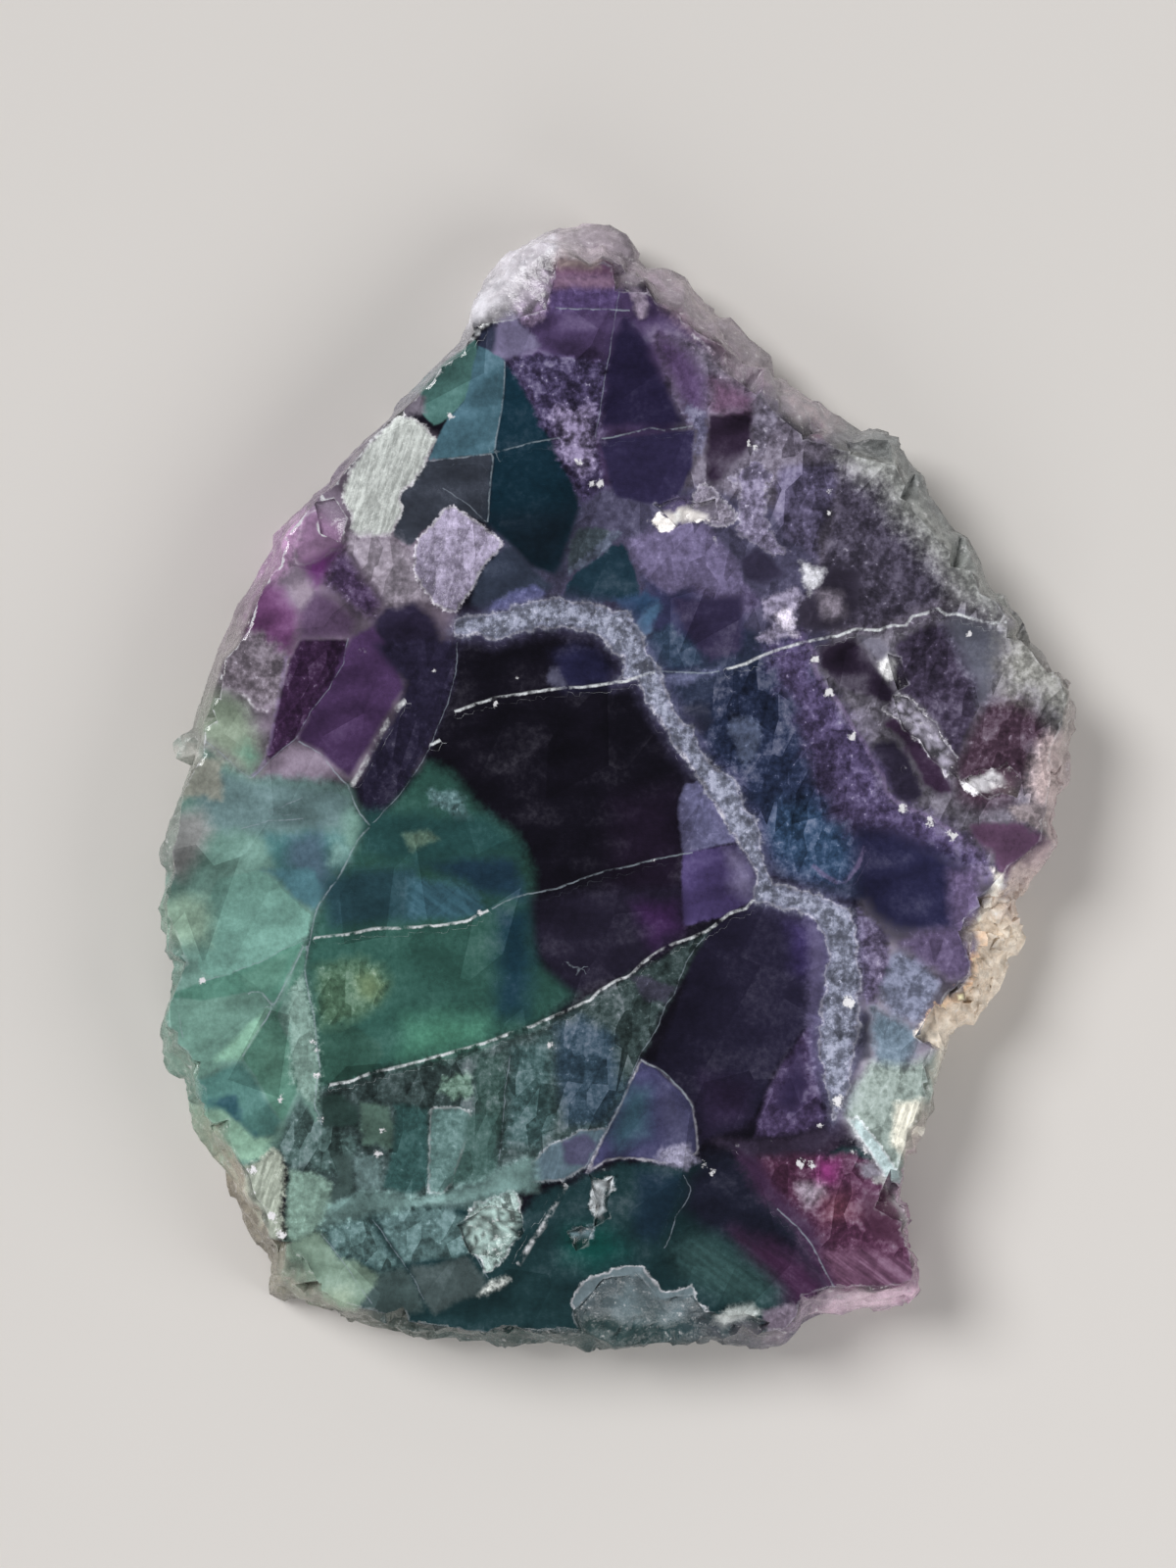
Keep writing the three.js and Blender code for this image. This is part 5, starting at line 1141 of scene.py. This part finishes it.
def stoneShader(shader, look, milk, rough, height, strength):
    # clear crystal and milky crystal, mixed by the cloudiness, over one absorbing body
    finish = stoneFinish
    bumpValues = {"Strength": strength, "Distance": finish["relief"] * mm, "Height": height}
    bump = shader.node("ShaderNodeBump", {}, bumpValues)
    clearLook = shader.node("ShaderNodeGamma", {}, {0: look, 1: finish["clearGamma"]})
    both = {"Roughness": rough, "IOR": finish["index"], "Normal": bump}
    clearValues = {"Base Color": clearLook, "Transmission Weight": 1.0, **both}
    clear = shader.node("ShaderNodeBsdfPrincipled", {}, clearValues)
    milky = shader.node("ShaderNodeBsdfPrincipled", {}, {"Base Color": look, **both})
    surface = shader.node("ShaderNodeMixShader", {}, {0: milk, 1: clear, 2: milky})
    bodyValues = {"Color": finish["bodyColour"], "Density": finish["bodyDensity"]}
    body = shader.node("ShaderNodeVolumeAbsorption", {}, bodyValues)
    shader.node("ShaderNodeOutputMaterial", {}, {"Surface": surface, "Volume": body}, None)
    return shader.owner


def polishedMaterial(layerCount):
    finish = stoneFinish
    shader = Shader(bpy.data.materials.new("polished fluorite"))
    patterns = stonePatterns(shader)
    look = shader.blend(patterns["cloud"], *(colour(rgb) for rgb in finish["ground"]))
    look, milk = paintZones(shader, patterns, look, finish["groundMilk"], layerCount)
    look, milk = paintLines(shader, patterns, look, milk)
    specksAndShine = shader.split(shader.attribute("specksAndShine", 1))
    # white specks and painted glints
    spots = shader.step(specksAndShine[0] + patterns["wander"][2] * 0.45, -0.05, 0.2)
    look = shader.blend(spots, look, colour(finish["speckGlintWhite"]))
    # white chips and a painted highlight along the rim of the polished face
    chipsAndShine = shader.step(specksAndShine[1] - patterns["wander"][0] * 0.3, 0.16, -0.1) * specksAndShine[2]
    look = shader.blend(chipsAndShine, look, colour(finish["edgeChipShineWhite"]))
    paleness = shader.node("ShaderNodeRGBToBW", {}, {0: look})
    least, own, pale = finish["milk"]
    milk = shader.between(chipsAndShine, milk, 1.0) * own + least + paleness * pale
    frost = shader.step(milk, *finish["frostFrom"])
    rough = shader.between(frost, finish["polish"], finish["frost"])
    return stoneShader(shader, look, milk, rough, patterns["fine"], frost)


roughFinishes = {
    # scale of the grain in each direction, roughness, share of white glints
    "broken fluorite": {"scale": (1, 1, 1), "rough": 0.22, "glints": 0.6},
    "sawn fluorite": {"scale": (0.03, 1.6, 1), "rough": 0.5, "glints": 0.1},
}
glintColour = (236, 234, 236)


def roughMaterial(name):
    # walls and back: the colours come with the mesh, and the fine breakage is drawn over them
    finish = roughFinishes[name]
    shader = Shader(bpy.data.materials.new(name))
    place = shader.node("ShaderNodeTexCoord", {}, {}, 3)
    spot = shader.node("ShaderNodeMapping", {}, {0: place, 3: [size / mm for size in finish["scale"]]})
    values = {"Vector": spot, "Scale": 1.5, "Detail": 2.0, "Roughness": 0.7}
    fine = shader.node("ShaderNodeTexNoise", {}, values)
    look = shader.shade(shader.attribute("tint", 0), fine * 0.6 + 0.7)
    milk = shader.attribute("milk") * 0.3 + 0.65
    glints = shader.step(fine, 0.6, 0.75) * milk * finish["glints"]
    look = shader.blend(glints, look, colour(glintColour))
    return stoneShader(shader, look, milk, fine * 0.3 + (finish["rough"] - 0.1), fine, 0.5)


# what the walls and the back look like: direction from the middle in degrees, colour, how much of it
# from 50 to 104 degrees the tints are lighter as painted light: it makes up for the shade on walls that
# slope away from the lamps, and at 104 degrees it is a painted glint on the shoulder
wallTints = [
    (-180, (146, 156, 148), 0.6), (-160, (134, 158, 148), 0.5), (-145, (144, 168, 152), 0.6),
    (-135, (176, 166, 148), 0.7), (-122, (164, 160, 148), 0.7), (-105, (98, 118, 112), 0.4),
    (-85, (76, 100, 100), 0.3), (-72, (158, 143, 163), 0.5), (-64, (230, 204, 220), 0.8),
    (-56, (186, 150, 176), 0.6), (-45, (186, 184, 172), 0.5), (-34, (250, 236, 218), 0.85),
    (-20, (255, 242, 224), 0.85), (-10, (214, 192, 194), 0.7), (5, (184, 172, 170), 0.7),
    (25, (150, 154, 150), 0.7), (50, (144, 148, 148), 0.6), (75, (164, 154, 164), 0.7),
    (92, (186, 174, 186), 0.6), (104, (214, 210, 218), 0.7), (115, (168, 170, 178), 0.7),
    (130, (160, 150, 166), 0.7), (146, (150, 122, 152), 0.6), (160, (168, 160, 162), 0.7),
    (172, (150, 150, 146), 0.6), (175.5, (206, 206, 200), 0.9), (179, (146, 156, 148), 0.6),
]
crustRust = {"colour": (170, 142, 114), "share": 0.45, "from": (-40, -34), "to": (12, 18)}
wallShape = {
    "ground": (18, 16, 27),
    "rag": 0.8,  # scales of the noises that blur the zones on the walls
    "cloud": 0.32,
    "grain": 1.7,
    "sectors": 90,
    "edgeFrom": (0.80, 0.90),  # share of the way out at which the wall's own tint begins
    "depthFrom": (0.1, 1.6),  # and how far below the polished face, in mm
    "backHeight": 0.5,
    "backShare": 0.5,
    "lean": (0.10, -0.07),  # how far the colour bands lean on the way down
}


def eased(value, start, end):
    share = np.clip((value - start) / (end - start), 0, 1)
    return share * share * (3 - 2 * share)


def wallTint(places, grain):
    # the wall's colour and its share, by direction, partly painted light on the upper right
    shape, rust = wallShape, crustRust
    angle = directionOf(places)
    directions, tints, shares = zip(*wallTints)
    bands = linear(tints).T
    tint = np.column_stack([np.interp(angle, directions, band) for band in bands])
    speck = eased(grain, 0.45, 0.75) * eased(angle, *rust["from"]) * eased(-angle, *rust["to"])
    tint += (speck * rust["share"])[:, None] * (linear(rust["colour"]) - tint)
    share = np.interp(angle, directions, shares)
    # pits in the face keep the colours of their zones
    radius = np.hypot(places[:, 0], places[:, 1])
    sector = ((angle + 180) * shape["sectors"] / 360).astype(int) % shape["sectors"]
    outer = np.zeros(shape["sectors"])
    np.maximum.at(outer, sector, radius)
    share *= eased(radius / outer[sector], *shape["edgeFrom"])
    share *= eased(faceHeight - places[:, 2], *shape["depthFrom"]) * (0.7 + 0.6 * grain)
    share *= np.where(places[:, 2] < shape["backHeight"], shape["backShare"], 1.0)
    return tint, np.clip(share, 0, 1)


def meshColours(places, depths):
    # the same zones, blended point by point
    spots = [Vector(place) for place in places]
    rag = np.array([noise.noise(spot * wallShape["rag"]) for spot in spots])
    cloud = np.array([noise.fractal(spot * wallShape["cloud"], 0.7, 2.1, 4) for spot in spots])
    grain = np.array([noise.noise(spot * wallShape["grain"]) for spot in spots])
    cloud, grain = eased(cloud, -0.5, 0.5), eased(grain, -0.5, 0.5)
    look = np.tile(linear(wallShape["ground"]), (len(places), 1))
    milk = np.full(len(places), stoneFinish["groundMilk"])
    for zone, depth in zip(stoneZones, depths):
        mask = eased(depth + rag * zone["ragged"] * 1.2, -zone["soft"], zone["soft"])
        texture = grain if zone["texture"] in ("grain", "lace") else cloud
        gain = 1 + zone["spread"] * (2 * texture - 1)
        tone = linear(np.array(zone["colour"])[None] * gain[:, None])
        look += mask[:, None] * (tone - look)
        milk += mask * (zone["milk"] - milk)
    tint, share = wallTint(places, grain)
    look += share[:, None] * (tint - look)
    return np.clip(look, 0, 1), milk


def layZones(depths):
    # zones share a layer where they don't meet, and lie above every zone that they cover
    near = np.array([
        depth > -(zone["soft"] + 0.6 * zone["ragged"] + 0.7) for depth, zone in zip(depths, stoneZones)
    ]).astype(np.float32)
    core = (depths > 0.2).astype(np.float32)
    touches, covers = near @ near.T > 0, core @ core.T > 0
    layers = []
    for index in range(len(depths)):
        below = [layers[other] for other in range(index) if covers[index, other]]
        taken = {layers[other] for other in range(index) if touches[index, other]}
        layer = 1 + max(below, default=-1)
        while layer in taken:
            layer += 1
        layers.append(layer)
    return np.array(layers)


def addLayer(mesh, name, kind, values):
    field = {"FLOAT": "value", "FLOAT_VECTOR": "vector", "FLOAT_COLOR": "color"}[kind]
    layer = mesh.attributes.new(name, kind, "POINT")
    layer.data.foreach_set(field, np.ascontiguousarray(values, np.float32).ravel())


def fadeAcross(zone, points):
    # lighter towards one side of the zone, and darker on the other
    degrees, share = zone["fade"]
    toward = np.array([math.cos(math.radians(degrees)), math.sin(math.radians(degrees))])
    along = onSlab(zone["outline"]) @ toward
    return 1 + 2 * share * np.clip((points @ toward - along.mean()) / np.ptp(along), -0.5, 0.5)


# how strongly each texture shows
textureShares = {"cloud": 1.0, "veil": 1.0, "lace": 0.7, "grain": 0.7, "streak": 0.5, "ribs": 0.4}
groundTexture = 0.12


def dressFace(mesh, points, depths):
    # every layer carries the nearest of its zones, and fades out before the next one begins
    layers = layZones(depths)
    fades = np.array([fadeAcross(zone, points) for zone in stoneZones])
    paints = np.array([[*linear(zone["colour"]), zone["milk"]] for zone in stoneZones])
    edges = np.array([[zone[key] for key in ("soft", "ragged", "rim")] for zone in stoneZones])
    textures = np.zeros((len(stoneZones), len(textureNames)))
    for row, zone in zip(textures, stoneZones):
        row[textureNames.index(zone["texture"])] = zone["spread"] * textureShares[zone["texture"]]
    top = np.zeros((depths.shape[1], len(textureNames)))
    top[:, 0] = groundTexture
    for layer in range(layers.max() + 1):
        members = np.flatnonzero(layers == layer)
        nearest = members[depths[members].argmax(0)]
        depth = depths[members].max(0)
        addLayer(mesh, f"depth{layer}", "FLOAT", depth)
        paint = paints[nearest]
        paint[:, :3] *= np.take_along_axis(fades, nearest[None], 0)[0][:, None]
        addLayer(mesh, f"paint{layer}", "FLOAT_COLOR", paint)
        for column, name in enumerate(("soft", "ragged", "rim")):
            addLayer(mesh, f"{name}{layer}", "FLOAT", edges[nearest, column])
        top = np.where((depth > 0)[:, None], textures[nearest], top)
    addLayer(mesh, "texture", "FLOAT_VECTOR", top[:, :3])
    addLayer(mesh, "grains", "FLOAT_VECTOR", top[:, 3:])
    return int(layers.max()) + 1


# the rim shows white chips and a painted highlight, strongest on the upper left towards the key light, and
# faint elsewhere
rimChipsAndShine = {"least": 0.2, "more": 0.7, "from": (95, 115), "to": (-182, -172)}


def dressMesh(mesh, rimStarts, rimEnds):
    places = np.array([vert.co for vert in mesh.vertices])
    below = faceHeight - places[:, 2]
    points = places[:, :2] + below[:, None] * np.array(wallShape["lean"])
    depths = np.array([insideDistance(points, zone["outline"]) for zone in stoneZones])
    layerCount = dressFace(mesh, points, depths)
    channels = []
    for line in stoneLines:
        value = np.full(len(points), lineReach["far"])
        for path in line["paths"]:
            value = lineDistance(points, path, value)
        channels.append(value)
    addLayer(mesh, "lines0", "FLOAT_VECTOR", np.column_stack(channels[:3]))
    addLayer(mesh, "lines1", "FLOAT_VECTOR", np.column_stack(channels[3:]))
    # white specks and painted glints: how far inside each spot
    white = np.full(len(points), -4.0)
    for x, y, radius in specksAndGlints:
        middle = onSlab([(x, y)])[0]
        white = np.maximum(white, radius - np.hypot(*(points - middle).T))
    edge = edgeDistance(places[:, :2], rimStarts, rimEnds)
    angle = directionOf(places)
    # the rim's white chips and painted highlight are strongest on the upper left, where the key light falls
    side = eased(angle, *rimChipsAndShine["from"]) * eased(-angle, *rimChipsAndShine["to"])
    chipsAndShineShare = rimChipsAndShine["least"] + rimChipsAndShine["more"] * side
    addLayer(mesh, "specksAndShine", "FLOAT_VECTOR", np.column_stack([white, edge, chipsAndShineShare]))
    look, milk = meshColours(places, depths)
    addLayer(mesh, "tint", "FLOAT_COLOR", np.column_stack([look, np.ones(len(look))]))
    addLayer(mesh, "milk", "FLOAT", milk)
    return layerCount


def placed(name, data):
    made = bpy.data.objects.new(name, data)
    bpy.context.scene.collection.objects.link(made)
    return made


mesh, rimStarts, rimEnds = slabMesh()
print(f"slab mesh: {len(mesh.polygons)} faces")
layerCount = dressMesh(mesh, rimStarts, rimEnds)
pathCount = sum(len(line["paths"]) for line in stoneLines)
print(f"zones: {len(stoneZones)} in {layerCount} layers, lines: {pathCount}")
mesh.transform(Matrix.Scale(mm, 4))
mesh.polygons.foreach_set("use_smooth", np.ones(len(mesh.polygons), bool))
mesh.set_sharp_from_angle(angle=math.radians(slabShape["crease"]))
mesh.materials.append(polishedMaterial(layerCount))
for name in roughFinishes:
    mesh.materials.append(roughMaterial(name))
slab = placed("fluorite_stone", mesh)
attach(slab, "root")
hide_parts("fluorite_slab")
print("materials made")

studio = {
    "floorSize": 16.0,
    "floorDrop": 0.0001,
    "floorColour": (0.64, 0.615, 0.59),
    "floorMottle": 0.03,
    # the world is bright low down and dim overhead, so that the polish reflects little from above
    "sky": [(0.05, (0.60, 0.585, 0.57, 1)), (0.85, (0.10, 0.10, 0.105, 1))],
    # name, kind, place, size in metres or spread in radians, power
    "lamps": [
        ("daylight", "SUN", (-0.55, 0.40, 0.75), 0.5, 2.0),
        ("key", "AREA", (-0.55, 0.40, 0.75), 0.42, 1.4),
        ("fill", "AREA", (0.75, -0.25, 0.60), 0.60, 3.0),
        ("front", "AREA", (0.05, -0.85, 0.45), 0.60, 2.2),
    ],
}


def studioFloor():
    half = studio["floorSize"] / 2
    floorMesh = bpy.data.meshes.new("floor")
    corners = [(-half, -half, 0), (half, -half, 0), (half, half, 0), (-half, half, 0)]
    floorMesh.from_pydata(corners, [], [(0, 1, 2, 3)])
    floor = placed("floor", floorMesh)
    floor.location.z = -studio["floorDrop"]
    shader = Shader(bpy.data.materials.new("studio floor"))
    place = shader.node("ShaderNodeTexCoord", {}, {}, 3)
    mottle = shader.node("ShaderNodeTexNoise", {}, {"Vector": place, "Scale": 6.0, "Detail": 3.0})
    base = np.array(studio["floorColour"])
    tones = [(*(base * (1 + side * studio["floorMottle"])).tolist(), 1) for side in (-1, 1)]
    paper = shader.blend(mottle, *tones)
    surface = shader.node("ShaderNodeBsdfPrincipled", {}, {"Base Color": paper, "Roughness": 0.85})
    shader.node("ShaderNodeOutputMaterial", {}, {"Surface": surface}, None)
    floorMesh.materials.append(shader.owner)


def studioLamps():
    for name, kind, place, size, power in studio["lamps"]:
        data = bpy.data.lights.new(name, kind)
        if kind == "SUN":
            data.angle = size
        else:
            data.shape = "DISK"
            data.size = size
        data.energy = power
        lamp = placed(name, data)
        lamp.location = place
        lamp.rotation_euler = (-Vector(place)).to_track_quat("-Z", "Y").to_euler()


def studioWorld():
    world = bpy.data.worlds.new("studio")
    bpy.context.scene.world = world
    shader = Shader(world)
    upward = shader.split(shader.node("ShaderNodeTexCoord", {}, {}))[2]
    sky = shader.node("ShaderNodeValToRGB", {"stops": studio["sky"]}, {0: upward})
    background = shader.node("ShaderNodeBackground", {}, {"Color": sky})
    shader.node("ShaderNodeOutputWorld", {}, {"Surface": background}, None)


view = {
    "height": 0.394,  # above the middle of the thickness
    "frame": 0.160,  # what the picture's long side takes in there
    "place": (-0.00292, 0.00028),
    "reach": (0.01, 40),
}


def studioCamera():
    data = bpy.data.cameras.new("camera")
    data.lens = data.sensor_width * view["height"] / view["frame"]
    data.clip_start, data.clip_end = view["reach"]
    camera = placed("camera", data)
    camera.location = (*view["place"], faceHeight * mm / 2 + view["height"])
    bpy.context.scene.camera = camera


studioFloor()
studioLamps()
studioWorld()
studioCamera()
bpy.context.scene.view_settings.view_transform = "Standard"
print("floor, lamps and camera ready")
